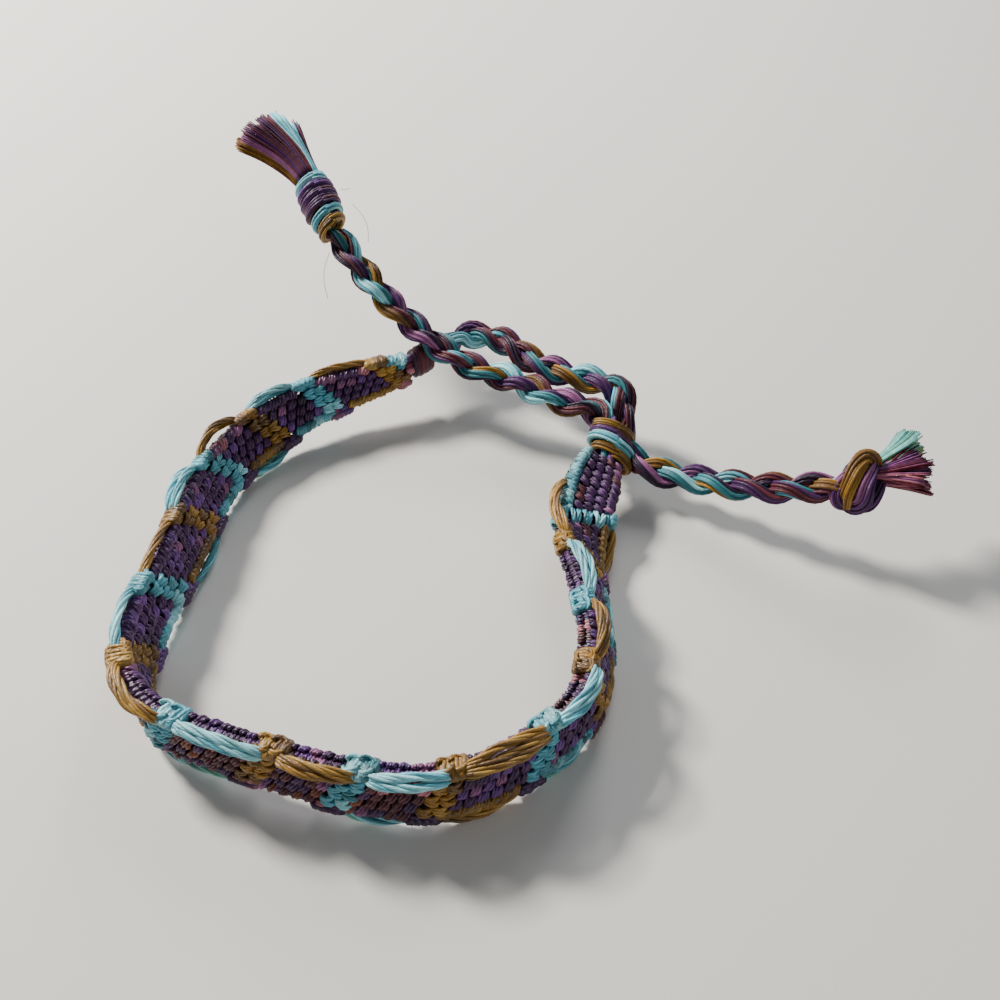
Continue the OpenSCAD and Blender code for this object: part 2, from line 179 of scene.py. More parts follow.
# Flosses of the band's knots, with the share of each: those of the blocks by where they lie, then the bars'.
DARK_FLOSSES = (Floss.PLUM, Floss.VIOLET, Floss.AUBERGINE, Floss.MAUVE, Floss.ROSE)
WARM_FLOSSES = (Floss.PLUM, Floss.MAROON, Floss.BRICK, Floss.MAUVE, Floss.ROSE)
KNOT_FLOSSES = {
    "cool": (DARK_FLOSSES, (0.64, 0.26, 0.03, 0.05, 0.02)),
    "warm": (WARM_FLOSSES, (0.34, 0.4, 0.14, 0.06, 0.06)),
    "bluish": (DARK_FLOSSES, (0.46, 0.44, 0.04, 0.06, 0.0)),
    "plummy": ((Floss.PLUM, Floss.MAROON, Floss.MAUVE), (0.74, 0.17, 0.09)),
    "rosy": ((Floss.ROSE, Floss.MAUVE, Floss.PLUM), (0.4, 0.3, 0.3)),
    "mixed": ((Floss.ROSE, Floss.TEAL, Floss.MAROON, Floss.PLUM), (0.12, 0.3, 0.24, 0.34)),
    "gold": ((Floss.GOLD, Floss.OCHRE, Floss.PALE_GOLD), (0.55, 0.3, 0.15)),
    "aqua": ((Floss.AQUA, Floss.PALE_AQUA, Floss.TEAL), (0.6, 0.28, 0.12)),
}


def unit(vectors: Array) -> Array:
    """Scales vectors along the last axis to length 1."""
    return vectors / np.maximum(np.linalg.norm(vectors, axis=-1, keepdims=True), 1e-12)


def smooth(share: Array) -> Array:
    """Cubic ease from 0 to 1: 3 c squared less 2 c cubed, of the share clipped to 0 to 1."""
    clipped = np.clip(share, 0.0, 1.0)
    return clipped * clipped * (3.0 - 2.0 * clipped)


def triple(first: float | Array, second: float | Array, third: float | Array) -> Array:
    """Three coordinates, broadcast to one another and joined in the last axis."""
    return np.stack(np.broadcast_arrays(first, second, third), -1)


def cross_frame(paths: Array, beside: Array) -> tuple[Array, Array]:
    """Directions across paths.

    The side is the beside direction with its part along the tangent taken away, and the rise is square to
    both. The tangent is the difference between the neighbouring points.

    Args:
        paths: Points, threads by steps by 3.
        beside: Directions that never run along the path, which broadcast to the paths.

    Returns:
        Sides and rises, shaped as the paths.
    """
    tangent = unit(np.gradient(paths, axis=-2))
    level = np.broadcast_to(beside, paths.shape)
    side = unit(level - (level * tangent).sum(-1, keepdims=True) * tangent)
    return side, np.cross(tangent, side)


def level_axes(ahead: Array) -> tuple[Array, Array]:
    """Level direction to the left of a heading, and the direction up that is square to both."""
    left = unit(np.cross(UP, ahead))
    return left, np.cross(ahead, left)


def path_lengths(paths: Array) -> Array:
    """Length from the start to each point of each path."""
    gaps = np.linalg.norm(np.diff(paths, axis=-2), axis=-1)
    return np.concatenate([np.zeros_like(gaps[..., :1]), np.cumsum(gaps, axis=-1)], axis=-1)


def ply_places(count: int) -> Array:
    """Places of plies in a thread's section of radius 1.

    Up to four plies stand in a ring. More of them fill a disc, each the golden angle further round than the
    last and at the root of its number outwards.

    Args:
        count: Number of plies.

    Returns:
        Sideways and upwards places, count by 2.
    """
    index = np.arange(count)
    if count <= 4:
        radius = np.ones(count)
        angle = TURN * index / count
    else:
        radius = np.sqrt((index + 0.5) / count)
        angle = index * math.pi * (3.0 - math.sqrt(5.0))
    return np.stack([radius * np.cos(angle), radius * np.sin(angle)], axis=-1)


def sector_colours(flosses: Sequence[Floss], count: int) -> Array:
    """Colours of the plies of a bundle, so that each floss fills one sector of its section.

    Args:
        flosses: Flosses, sector by sector.
        count: Number of plies.

    Returns:
        Colours, count by 3.
    """
    places = ply_places(count)
    turn = np.arctan2(places[:, 1], places[:, 0]) / TURN % 1.0
    palette = np.array([floss.value for floss in flosses])
    return palette[np.minimum((turn * len(palette)).astype(int), len(palette) - 1)]


@dataclass(frozen=True)
class Twist:
    """How the plies of a thread lie and wind round one another."""

    plies: int
    ply_r: float
    spread: float  # radius of the thread's section
    flat: float  # height of the section as a share of its width
    pitch: float  # length in which a ply winds round once

    def split(self, paths: Array, beside: Array, phase: Array, size: float | Array) -> tuple[Array, Array]:
        """Splits the middle line of each thread into the middle lines of its plies.

        The places of the plies turn about the middle line by 2 pi (length / pitch) + phase. They are scaled
        by the spread and the size, and their height is pressed flat.

        Args:
            paths: Middle lines, threads by steps by 3.
            beside: Directions beside the threads, which broadcast to the paths.
            phase: Starting angle of each thread.
            size: Size of the section as a share of the usual one, or one for each step.

        Returns:
            The middle lines of the plies, threads times plies by steps by 3, and the directions beside them.
        """
        side, rise = cross_frame(paths, beside)
        turn = (TURN * path_lengths(paths) / self.pitch + phase[:, None])[:, None, :, None]
        place = ply_places(self.plies)[None, :, None, :]
        sideways = place[..., :1] * np.cos(turn) - place[..., 1:] * np.sin(turn)
        upwards = place[..., :1] * np.sin(turn) + place[..., 1:] * np.cos(turn)
        offset = sideways * side[:, None] + self.flat * upwards * rise[:, None]
        lines = paths[:, None] + np.asarray(self.spread * size)[..., None] * offset
        shape = (-1,) + paths.shape[1:]
        return lines.reshape(shape), np.broadcast_to(side[:, None], lines.shape).reshape(shape)


@dataclass
class Route:
    """A smooth curve through rows of numbers, the first three of which are a place.

    Between two rows it is the Catmull-Rom blend of the four rows around them. Places along it are found by
    their length from its start, which is measured once.
    """

    rows: Rows
    table: Array = field(init=False, repr=False)
    steps: Array = field(init=False, repr=False)
    lengths: Array = field(init=False, repr=False)

    def __post_init__(self) -> None:
        """Measures the curve between SAMPLES_A_ROW points for each row."""
        rows = np.asarray(self.rows, dtype=float)
        self.table = np.vstack([2.0 * rows[0] - rows[1], rows, 2.0 * rows[-1] - rows[-2]])
        self.steps = np.arange((len(rows) - 1) * SAMPLES_A_ROW + 1) / SAMPLES_A_ROW
        self.lengths = path_lengths(self.blend(self.steps)[:, :3])

    @property
    def total(self) -> float:
        """Length of the whole curve."""
        return float(self.lengths[-1])

    def blend(self, step: Array) -> Array:
        """Row at a parameter that counts the rows from zero.

        Args:
            step: Parameters of any shape.

        Returns:
            The rows, one more axis than the parameters.
        """
        first = np.clip(np.floor(step).astype(int), 0, len(self.rows) - 2)
        a, b, c, d = (self.table[first + k] for k in range(4))
        t = (step - first)[..., None]
        rise = (c - a) * t + (2.0 * a - 5.0 * b + 4.0 * c - d) * t**2 + (3.0 * b - a - 3.0 * c + d) * t**3
        return b + 0.5 * rise

    def at(self, along: Array) -> Array:
        """Rows at lengths along the curve."""
        return self.blend(np.interp(along, self.lengths, self.steps))

    def heading(self, along: Array) -> Array:
        """Directions of the curve at lengths along it."""
        ahead = self.at(np.minimum(along + FINE, self.total))[..., :3]
        return unit(ahead - self.at(np.maximum(along - FINE, 0.0))[..., :3])


@dataclass
class NodeGraph:
    """Adds nodes to a material's tree."""

    tree: bpy.types.NodeTree

    def feed(self, node: bpy.types.Node, inputs: Inputs) -> None:
        """Gives inputs of a node their values, or links them to the output sockets of other nodes.

        Args:
            node: The node.
            inputs: Values or output sockets, by the name or number of the input.
        """
        for key, value in inputs.items():
            if isinstance(value, Socket):
                self.tree.links.new(value, node.inputs[key])
            else:
                node.inputs[key].default_value = value

    def add(self, kind: str, output: str, inputs: Inputs, **settings: str) -> Socket:
        """Adds a node to the tree.

        Args:
            kind: Type of the node, without its prefix.
            output: Name of the output that is wanted.
            inputs: Values or output sockets, by the name or number of the input.
            settings: Properties of the node.

        Returns:
            The output socket.
        """
        node = self.tree.nodes.new(f"ShaderNode{kind}")
        for name, value in settings.items():
            setattr(node, name, value)
        self.feed(node, inputs)
        return node.outputs[output]

    def noise(self, place: Socket, scale: Triple, detail: float) -> Socket:
        """Noise at scaled coordinates.

        Args:
            place: The coordinates.
            scale: Scale of each of them.
            detail: Octaves of the noise.

        Returns:
            The socket of the noise's strength.
        """
        scaled = self.add("Mapping", "Vector", {"Vector": place, "Scale": scale})
        return self.add("TexNoise", "Fac", {"Vector": scaled, "Scale": 1.0, "Detail": detail})


@dataclass(frozen=True)
class FlossFinish:
    """Satin cotton floss: the ply's own colour with streaks along it, twisted filaments and a soft sheen."""

    name: str
    roughness: float
    gloss: float = 0.6
    filaments: int = 5  # ridges round a ply
    lay: float = 0.35  # turns of the filaments in a millimetre of ply
    relief: float = 0.000014  # height of the ridges, in metres
    streaks: float = 0.34  # how far the streaks lighten and darken the colour
    sheen: float = 0.05
    sheen_roughness: float = 0.4
    bump: float = 0.7
    streak_scale: Triple = (9.0, 1.1, 1.0)
    patch_scale: Triple = (240.0, 240.0, 240.0)
    fluff_scale: Triple = (12.0, 3.0, 1.0)

    def material(self) -> bpy.types.Material:
        """Builds the material's nodes, or returns the material if it is there already.

        Returns:
            The material.
        """
        if self.name in bpy.data.materials:
            return bpy.data.materials[self.name]
        made = bpy.data.materials.new(self.name)
        made.use_nodes = True
        graph = NodeGraph(made.node_tree)
        shader = {
            "Roughness": self.roughness,
            "Sheen Weight": self.sheen,
            "Sheen Roughness": self.sheen_roughness,
            "Specular IOR Level": self.gloss,
            "Base Color": self.colour(graph),
            "Normal": self.normal(graph),
        }
        graph.feed(made.node_tree.nodes["Principled BSDF"], shader)
        return made

    def colour(self, graph: NodeGraph) -> Socket:
        """Base colour: the floss attribute times streaks along the ply and slow patches over the piece.

        Args:
            graph: Graph of the material.

        Returns:
            The socket of the colour.
        """
        uv = graph.add("UVMap", "UV", {}, uv_map=THREAD_MAP)
        streak = graph.noise(uv, self.streak_scale, 2.0)
        patch = graph.noise(graph.add("TexCoord", "Object", {}), self.patch_scale, 1.0)
        both = graph.add("Math", "Value", {0: streak, 1: patch}, operation="MULTIPLY")
        ends = {"From Min": 0.1, "From Max": 0.4, "To Min": 1.0 - self.streaks, "To Max": 1.0 + self.streaks}
        shade = graph.add("MapRange", "Result", {"Value": both, **ends})
        floss = graph.add("Attribute", "Color", {}, attribute_name="floss")
        return graph.add("VectorMath", "Vector", {0: floss, "Scale": shade}, operation="SCALE")

    def normal(self, graph: NodeGraph) -> Socket:
        """Normal: ridges where sin(2 pi (filaments * u + lay * filaments * v)) is high, and fine fluff.

        Args:
            graph: Graph of the material.

        Returns:
            The socket of the normal.
        """
        uv = graph.add("UVMap", "UV", {}, uv_map=THREAD_MAP)
        ply = TURN * self.filaments
        phase = {0: uv, 1: (ply, ply * self.lay, 0.0)}
        turned = graph.add("VectorMath", "Value", phase, operation="DOT_PRODUCT")
        wave = graph.add("Math", "Value", {0: turned}, operation="SINE")
        fluff = graph.noise(uv, self.fluff_scale, 2.0)
        height = graph.add("Math", "Value", {0: wave, 1: fluff}, operation="ADD")
        ridges = {"Height": height, "Distance": self.relief, "Strength": self.bump}
        return graph.add("Bump", "Normal", ridges)


class Finish(Enum):
    """The finishes of the bracelet's threads."""

    SATIN = FlossFinish("satin_floss", 0.46, relief=0.000007)
    TIGHT = FlossFinish("tight_knotted_floss", 0.46, relief=0.000009, streaks=0.4)
    BRAIDED = FlossFinish("braided_floss", 0.52, 0.36, filaments=6, lay=0.25, relief=0.000007)
    CUT = FlossFinish("cut_floss_ends", 0.6, 0.15, filaments=3, relief=0.000005)
    INNER = FlossFinish("inner_cords", 0.7, streaks=0.4)


@dataclass
class Skein:
    """Threads gathered into one mesh: closed tubes with UVs along them and a colour for each ply."""

    name: str
    points: list[Array] = field(default_factory=list)
    colours: list[Array] = field(default_factory=list)
    corners: list[Array] = field(default_factory=list)
    starts: list[Array] = field(default_factory=list)
    maps: list[Array] = field(default_factory=list)
    point_count: int = 0
    corner_count: int = 0

    def lay(
        self, paths: Array, beside: Array, radius: float | Array, colour: Array,
        sides: int = 6, flat: float = 1.0, ends: float = 1.0,
    ) -> None:
        """Adds a tube for each path.

        A point of a tube is path + radius * (cos(angle) * side + flat * sin(angle) * rise), with the angle
        in equal steps round. The first and last rings are narrowed and closed with a face.

        Args:
            paths: Middle lines, threads by steps by 3.
            beside: Directions beside the threads, which broadcast to the paths.
            radius: Radius of the tubes, or one for each thread and step.
            colour: Colour of each thread, or of each thread and step.
            sides: Number of sides of a tube.
            flat: Height of the tube's section as a share of its width.
            ends: Size of the end rings as a share of the others.
        """
        threads, steps = paths.shape[:2]
        side, rise = cross_frame(paths, beside)
        angle = TURN * np.arange(sides) / sides
        width = np.broadcast_to(np.asarray(radius, dtype=float), (threads, steps)).copy()
        width[:, [0, -1]] *= ends
        ring = np.cos(angle)[:, None] * side[:, :, None] + flat * np.sin(angle)[:, None] * rise[:, :, None]
        self.points.append((paths[:, :, None] + width[..., None, None] * ring).reshape(-1, 3))
        tint = colour[:, None] if colour.ndim == 2 else colour
        tint = np.broadcast_to(tint[:, :, None], (threads, steps, sides, 3))
        self.colours.append(np.concatenate([tint, np.ones_like(tint[..., :1])], axis=-1).reshape(-1, 4))
        self.join(paths, sides)

    def lay_plied(
        self, twist: Twist, paths: Array, beside: Array, phase: Array, colour: Array,
        size: float | Array = 1.0, sides: int = 6, ends: float = 0.7,
    ) -> None:
        """Adds a tube for each ply of each thread.

        Args:
            twist: How the plies wind.
            paths: Middle lines of the threads, threads by steps by 3.
            beside: Directions beside the threads, which broadcast to the paths.
            phase: Starting angle of each thread.
            colour: Colour of each ply, or of each ply and step.
            size: Size of the thread as a share of the usual one, or one for each step.
            sides: Number of sides of a tube.
            ends: Size of the end rings as a share of the others.
        """
        lines, wide = twist.split(paths, beside, phase, size)
        self.lay(lines, wide, twist.ply_r * size, colour, sides=sides, ends=ends)

    def join(self, paths: Array, sides: int) -> None:
        """Adds the faces of laid tubes: walls of four corners, and one face at each end.

        Args:
            paths: Middle lines of the tubes.
            sides: Number of sides of a tube.
        """
        threads, steps = paths.shape[:2]
        here = np.arange(sides)
        following = (here + 1) % sides
        base = self.point_count + (np.arange(threads)[:, None] * steps + np.arange(steps - 1)) * sides
        base = base[..., None]
        walls = np.stack([base + here, base + following, base + following + sides, base + here + sides], -1)
        caps = np.concatenate([base[:, 0] + here[::-1], base[:, -1] + sides + here])
        self.corners.extend([walls.reshape(-1), caps.reshape(-1)])
        wall_starts = self.corner_count + 4 * np.arange(walls.size // 4)
        cap_starts = self.corner_count + walls.size + sides * np.arange(len(caps))
        self.starts.extend([wall_starts, cap_starts])
        lengths = path_lengths(paths)
        near, far, left = np.broadcast_arrays(lengths[:, :-1, None], lengths[:, 1:, None], here / sides)
        right = left + 1.0 / sides
        across = np.stack([left, right, right, left], -1)
        along = np.stack([near, near, far, far], -1)
        self.maps.extend([np.stack([across, along], -1).reshape(-1, 2), np.zeros((caps.size, 2))])
        self.point_count += threads * steps * sides
        self.corner_count += walls.size + caps.size

    def cut(self, finish: Finish, nodes: Sequence[str] = ()) -> Thing:
        """Makes the piece of the threads laid so far.

        Args:
            finish: Finish of its threads.
            nodes: CAD nodes that the piece stands for.

        Returns:
            The object, which rides on the bracelet's body.
        """
        mesh = bpy.data.meshes.new(self.name)
        corners = np.concatenate(self.corners).astype(np.int32)
        starts = np.concatenate(self.starts).astype(np.int32)
        mesh.vertices.add(self.point_count)
        mesh.vertices.foreach_set("co", ((np.vstack(self.points) + TO_FRAME) * MM).ravel())
        mesh.loops.add(len(corners))
        mesh.loops.foreach_set("vertex_index", corners)
        mesh.polygons.add(len(starts))
        mesh.polygons.foreach_set("loop_start", starts)
        mesh.polygons.foreach_set("use_smooth", np.ones(len(starts), dtype=bool))
        mesh.update(calc_edges=True)
        uv = mesh.uv_layers.new(name=THREAD_MAP)
        uv.data.foreach_set("uv", np.concatenate(self.maps).astype(np.float32).ravel())
        tint = mesh.color_attributes.new(name="floss", type="FLOAT_COLOR", domain="POINT")
        tint.data.foreach_set("color", np.concatenate(self.colours).astype(np.float32).ravel())
        mesh.validate()
        mesh.materials.append(finish.value.material())
        piece = bpy.data.objects.new(self.name, mesh)
        bpy.context.scene.collection.objects.link(piece)
        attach(piece, BODY)
        if nodes:
            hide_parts(*nodes)
        LOG.info("%s: %d faces", self.name, len(starts))
        return piece


@dataclass
class Dye:
    """Draws the colours of plies, each a floss with a small change of lightness."""

    seed: int
    spread: float = 0.16  # how far a ply's lightness may stray
    draw: np.random.Generator = field(init=False, repr=False)

    def __post_init__(self) -> None:
        """Starts the draws."""
        self.draw = np.random.default_rng(self.seed)

    def plies(self, flosses: Sequence[Floss], count: int, odds: Sequence[float] | None = None) -> Array:
        """Colours of plies drawn from some flosses.

        Args:
            flosses: The flosses to draw from.
            count: Number of plies.
            odds: Share of each floss, or none for equal shares.

        Returns:
            Colours, count by 3.
        """
        palette = np.array([floss.value for floss in flosses])
        return self.fade(palette[self.draw.choice(len(palette), size=count, p=odds)])

    def fade(self, colours: Array) -> Array:
        """Lightens or darkens each colour a little."""
        return colours * (1.0 + self.spread * self.draw.uniform(-1.0, 1.0, colours.shape[:-1] + (1,)))

    def phases(self, count: int) -> Array:
        """Angles at which threads start to wind."""
        return self.draw.uniform(0.0, TURN, count)


@dataclass
class BandShape:
    """The band's middle surface: places by length along it, distance across it and height over it."""

    route: Route
    bar_w: float = 7.2
    block_w: float = 5.9
    bar_t: float = 2.6
    block_t: float = 2.1
    bar_len: float = 2.8
    slant: float = 3.6  # how far the lower end of a bar lies behind its upper end
    ramp: float = 0.9  # length over which a bar swells

    def axes(self, along: Array) -> tuple[Array, Array, Array, Array]:
        """Frames of the band.

        Args:
            along: Lengths along the middle line.

        Returns:
            The place, the direction across towards the upper edge, the outward direction and the share of
            full width.
        """
        rows = self.route.at(along)
        ahead = self.route.heading(along)
        out = unit(np.cross(ahead, UP))
        lean = np.radians(rows[..., 3:4])
        leaning = np.sin(lean) * out + np.cos(lean) * UP
        across = unit(leaning - (leaning * ahead).sum(-1, keepdims=True) * ahead)
        return rows[..., :3], across, np.cross(ahead, across), rows[..., 4:5]

    def place(self, spots: Array) -> Array:
        """Points on or over the band: middle + across * distance * share of width + outward * height.

        Args:
            spots: Length along, distance across and height over the middle, in the last axis.

        Returns:
            The places, shaped as the spots.
        """
        middle, across, outward, share = self.axes(spots[..., 0])
        return middle + across * spots[..., 1:2] * share + outward * spots[..., 2:3]

    def bar_share(self, along: Array) -> Array:
        """1 on a light bar and 0 on a dark block, halfway across."""
        off = np.abs((along + self.slant / 2.0)[..., None] - BAR_PLACES).min(-1)
        return smooth((self.bar_len / 2.0 + self.ramp / 2.0 - off) / self.ramp)

    def half_width(self, share: Array) -> Array:
        """Half width where the share of bar is as given."""
        return (self.block_w + (self.bar_w - self.block_w) * share) / 2.0

    def half_thickness(self, share: Array) -> Array:
        """Half thickness where the share of bar is as given."""
        return (self.block_t + (self.bar_t - self.block_t) * share) / 2.0


def pick(knots: Knots, chosen: Array) -> Knots:
    """Those of the knots that are chosen."""
    return {name: values[chosen] for name, values in knots.items()}


@dataclass
class KnottedBand:
    """The band's knots: five columns of them, in rows that slant with the bars, on both faces.

    Each knot shows as two loops of floss. On a block they lie across the band, one above the other, and on a
    bar they stand side by side along it and lean apart. Knots are kept as arrays by name, one value for each
    knot.
    """

    shape: BandShape
    columns: int = 5
    row_pitch: float = 1.36
    bar_rows: int = 2
    closing: Pair = (140.0, 142.0)  # the last bar, a single row, at its two edges
    closing_pitch: float = 2.1
    shaded_bars: tuple[int, ...] = (7, 8, 9)  # bars whose floss does not run on beside the next block
    trim: float = 0.3  # length without knots at both ends
    steps: int = 7
    twist: Twist = Twist(3, 0.185, 0.19, 0.55, 5.0)
    sink: float = 0.36  # height at which the ends of the loops dive between their neighbours
    stacked: float = 0.16  # how far a block's loops stand apart along the band, as a share of the row
    beside: float = 0.23  # how far a bar's loops stand apart across the band, as a share of the column
    bar_reach: float = 0.56  # half length of a bar's loops, as a share of the row
    block_lean: float = 0.3  # how far the ends of a loop lie ahead of or above its middle
    bar_lean: float = 0.2
    lean_stray: float = 0.05
    block_stray: float = 1.2  # how much more the lean of a block's loops strays
    stray: float = 0.04  # how far loops stray from their places
    rim_side: float = 0.7  # where the outermost columns begin
    rounding: float = 0.6  # height of the loops of a bar's outermost knots, as a share of the others'
    edge_crown: float = 0.62
    bar_drop: float = 0.1  # how much lower a bar's loops stand over an edge
    edge_reach: Pair = (0.78, 0.16)  # reach of the loops over an edge, and what light ones add
    edge_lean: float = 0.1
    edge_sink: float = 0.6  # how deep their outer side lies inside the edge, in radii of a ply
    edge_apart: float = 0.25  # how far the two of a knot stand apart, as a share of the row
    pressed: float = 0.45  # how far the floats press the upper edge in where they droop most
    edge_size: float = 1.4  # thickness of the loops that wrap over an edge, as a share of the others'
    # painted shade: lightness of the ends of the loops over an edge, as a share of their crown's
    edge_painted_crease_shade: float = 0.6
    # painted shade: the loops darken towards their ends, where they dive between their neighbours
    painted_shade_power: float = 0.7  # how suddenly loops darken towards their ends
    filler_r: float = 0.72  # half width of the thread under such a loop
    filler_flat: float = 0.75
    filler_shift: float = 0.25
    # painted shade: the fillers under the loops over an edge are darkened to this share of the loops' colour
    filler_painted_shade: float = 0.7
    core_steps: int = 260
    core_inset: float = 0.9  # how far the carried cords stay inside the edges
    core_flat: float = 0.24
    # painted shade in the creases: the first for loops in general, the second where only the upper edge of
    # the inner face shows
    painted_crease_shades: Pair = (0.2, 0.65)  # lightness of a loop's ends as a share of its crown's
    turned: Pair = (56.0, 132.0)  # where only the upper edge of the inner face shows
    front: Pair = (63.0, 99.0)  # where the outer face is tied in warm flosses
    rosy_until: float = 34.0
    mixed: Pair = (110.0, 128.0)
    plummy_from: float = 138.0
    dye: Dye = field(default_factory=lambda: Dye(SEED, 0.14))

    @staticmethod
    def strip(places: Array, pitches: Sequence[float], bar: int, in_bar: float) -> Array:
        """Rows of knots of one bar or block: places and pitches at both edges, bar and whether in it."""
        ones = np.ones(places.shape[1])
        return np.vstack([places, pitches[0] * ones, pitches[1] * ones, bar * ones, in_bar * ones])

    def rows(self) -> Knots:
        """Lays out the rows of knots along the band.

        The rows of a bar keep the row pitch. The rows of the block before the next bar share the length that
        is left, along each edge for itself, so that the block turns into a wedge where two bars differ in
        their slant. The longer edge has three parts in four of the say in how many they are.

        Returns:
            Arrays with one value for each row: upper and lower, which are its places along the two edges,
            upper_pitch and lower_pitch, bar, which is the number of the bar that it belongs to or follows,
            and in_bar.
        """
        slants = np.array([[0.0], [self.shape.slant]])
        ends = np.full((2, 1), self.shape.route.total)
        edges = np.hstack([-slants, BAR_PLACES - slants, ends])
        edges[:, -2] = self.closing
        counts = np.full(edges.shape[1], self.bar_rows)
        pitches = np.full(edges.shape[1], self.row_pitch)
        counts[[0, -2, -1]] = (0, 1, 0)
        pitches[-2] = self.closing_pitch
        half = counts * pitches / 2.0
        strips = []
        for number in range(edges.shape[1] - 1):
            start, end = edges[:, number], edges[:, number + 1]
            spans = end - start - half[number] - half[number + 1]
            count = max(1, round((min(spans) + 3.0 * max(spans)) / 4.0 / self.row_pitch))
            share = (np.arange(count) + 0.5) / count
            block = (start + half[number])[:, None] + spans[:, None] * share
            strips.append(self.strip(block, spans / count, number - 1, 0.0))
            count, pitch = counts[number + 1], pitches[number + 1]
            inner = (np.arange(count) - (count - 1) / 2.0) * pitch
            strips.append(self.strip(end[:, None] + inner, (pitch, pitch), number, 1.0))
        names = ("upper", "lower", "upper_pitch", "lower_pitch", "bar", "in_bar")
        return dict(zip(names, np.concatenate(strips, axis=1)))

    def knots(self) -> Knots:
        """Lays out the knots of all rows and columns.

        A knot is tied in the light floss of its bar where it is part of the bar but for the lowest column,
        and along the lowest column of the block that follows. The last bar is light all across, and its
        floss runs on up the highest column instead. So are the upper knots before the first bar.

        Returns:
            Arrays with one value for each knot: those of its row, along, side, pitch and light.
        """
        rows = self.rows()
        column = np.tile(np.arange(self.columns), len(rows["bar"]))
        knots = {name: np.repeat(values, self.columns) for name, values in rows.items()}
        side = 1.0 - (2.0 * column + 1.0) / self.columns
        blend = (1.0 + side) / 2.0
        knots["side"] = side
        knots["along"] = knots["lower"] + (knots["upper"] - knots["lower"]) * blend
        knots["pitch"] = knots["lower_pitch"] + (knots["upper_pitch"] - knots["lower_pitch"]) * blend
        knots["in_bar"] = knots["in_bar"] > 0.5
        lowest = column == self.columns - 1
        closing = knots["bar"] == len(BAR_PLACES) - 1
        shaded = np.isin(knots["bar"], self.shaded_bars) | (knots["bar"] < 0)
        running = np.where(closing, column == 0, lowest & ~shaded) | ((knots["bar"] < 0) & (column < 3))
        knots["light"] = np.where(knots["in_bar"], ~lowest | closing, running)
        keep = (knots["along"] > self.trim) & (knots["along"] < self.shape.route.total - self.trim)
        return pick(knots, keep)

    def face_loops(self, knots: Knots, face: int) -> Array:
        """Middle lines of the two loops of each knot on one face.

        Args:
            knots: The knots.
            face: 1 for the outer face and -1 for the inner one.

        Returns:
            Spots on the band, knots times two by steps by 3.
        """
        jitter = self.dye.draw.normal(0.0, 1.0, (len(knots["along"]), 2, 4))
        share = knots["in_bar"].astype(float)
        half_w = self.shape.half_width(share)
        cell = (2.0 * half_w / self.columns)[:, None]
        bar = knots["in_bar"][:, None]
        pitch = knots["pitch"][:, None]
        crown = self.shape.half_thickness(share)[:, None] - self.sink + 2.0 * self.stray * jitter[..., 0]
        crown = crown * np.where(bar & (abs(knots["side"][:, None]) > self.rim_side), self.rounding, 1.0)
        along = knots["along"][:, None] + np.where(bar, 0.0, PAIR * pitch * self.stacked)
        across = (knots["side"] * half_w)[:, None] + np.where(bar, PAIR * cell * self.beside, 0.0)
        along = along + self.stray * jitter[..., 1]
        across = across + self.stray * jitter[..., 2]
        stray = self.lean_stray * jitter[..., 3]
        lean = (self.block_lean + self.block_stray * stray) * face
        reach_along = np.where(bar, pitch * self.bar_reach, lean)
        reach_across = np.where(bar, PAIR * self.bar_lean * face + stray, cell * 0.5)
        centre = triple(along, across, face * self.sink)
        return self.arcs(centre, triple(reach_along, reach_across, 0.0), triple(0.0, 0.0, face * crown))

    def edge_loops(self, knots: Knots, edge: int) -> Array:
        """Middle lines of the loops that wrap over one edge of the band, two for each of its knots.

        Drooping floats press those of the upper edge in.

        Args:
            knots: The knots of the outermost column.
            edge: 1 for the upper edge and -1 for the lower one.

        Returns:
            Spots on the band, knots times two by steps by 3.
        """
        share = knots["in_bar"].astype(float)
        half_w = self.shape.half_width(share)[:, None]
        half_t = self.shape.half_thickness(share)[:, None]
        nudge = self.dye.draw.normal(0.0, self.stray, (len(share), 2))
        name = "upper" if edge > 0 else "lower"
        along = knots[name][:, None] + PAIR * knots[f"{name}_pitch"][:, None] * self.edge_apart + nudge
        crown = self.edge_crown - self.bar_drop * share[:, None]
        droop = np.interp(along, DROOP_PLACES, DROOP_DEGREES) / max(DROOP_DEGREES) * (edge > 0)
        across = edge * (half_w - crown - self.twist.ply_r * self.edge_sink - self.pressed * droop)
        reach = half_t * (self.edge_reach[0] + self.edge_reach[1] * knots["light"][:, None])
        ends = triple(self.edge_lean, 0.0, reach)
        return self.arcs(triple(along, across, 0.0), ends, triple(0.0, edge * crown, 0.0))

    def arcs(self, centre: Array, reach: Array, lift: Array) -> Array:
        """Half ellipses: centre + reach * sin(t) + lift * cos(t), with t from -90 to 90 degrees.

        Args:
            centre: Middles of their chords.
            reach: From the middle of a chord to its end.
            lift: From the middle of a chord to the crown.

        Returns:
            The curves, as many as centres, by steps by 3.
        """
        t = np.linspace(-0.5, 0.5, self.steps)[:, None] * math.pi
        lines = centre[..., None, :] + reach[..., None, :] * np.sin(t) + lift[..., None, :] * np.cos(t)
        return lines.reshape(-1, self.steps, 3)

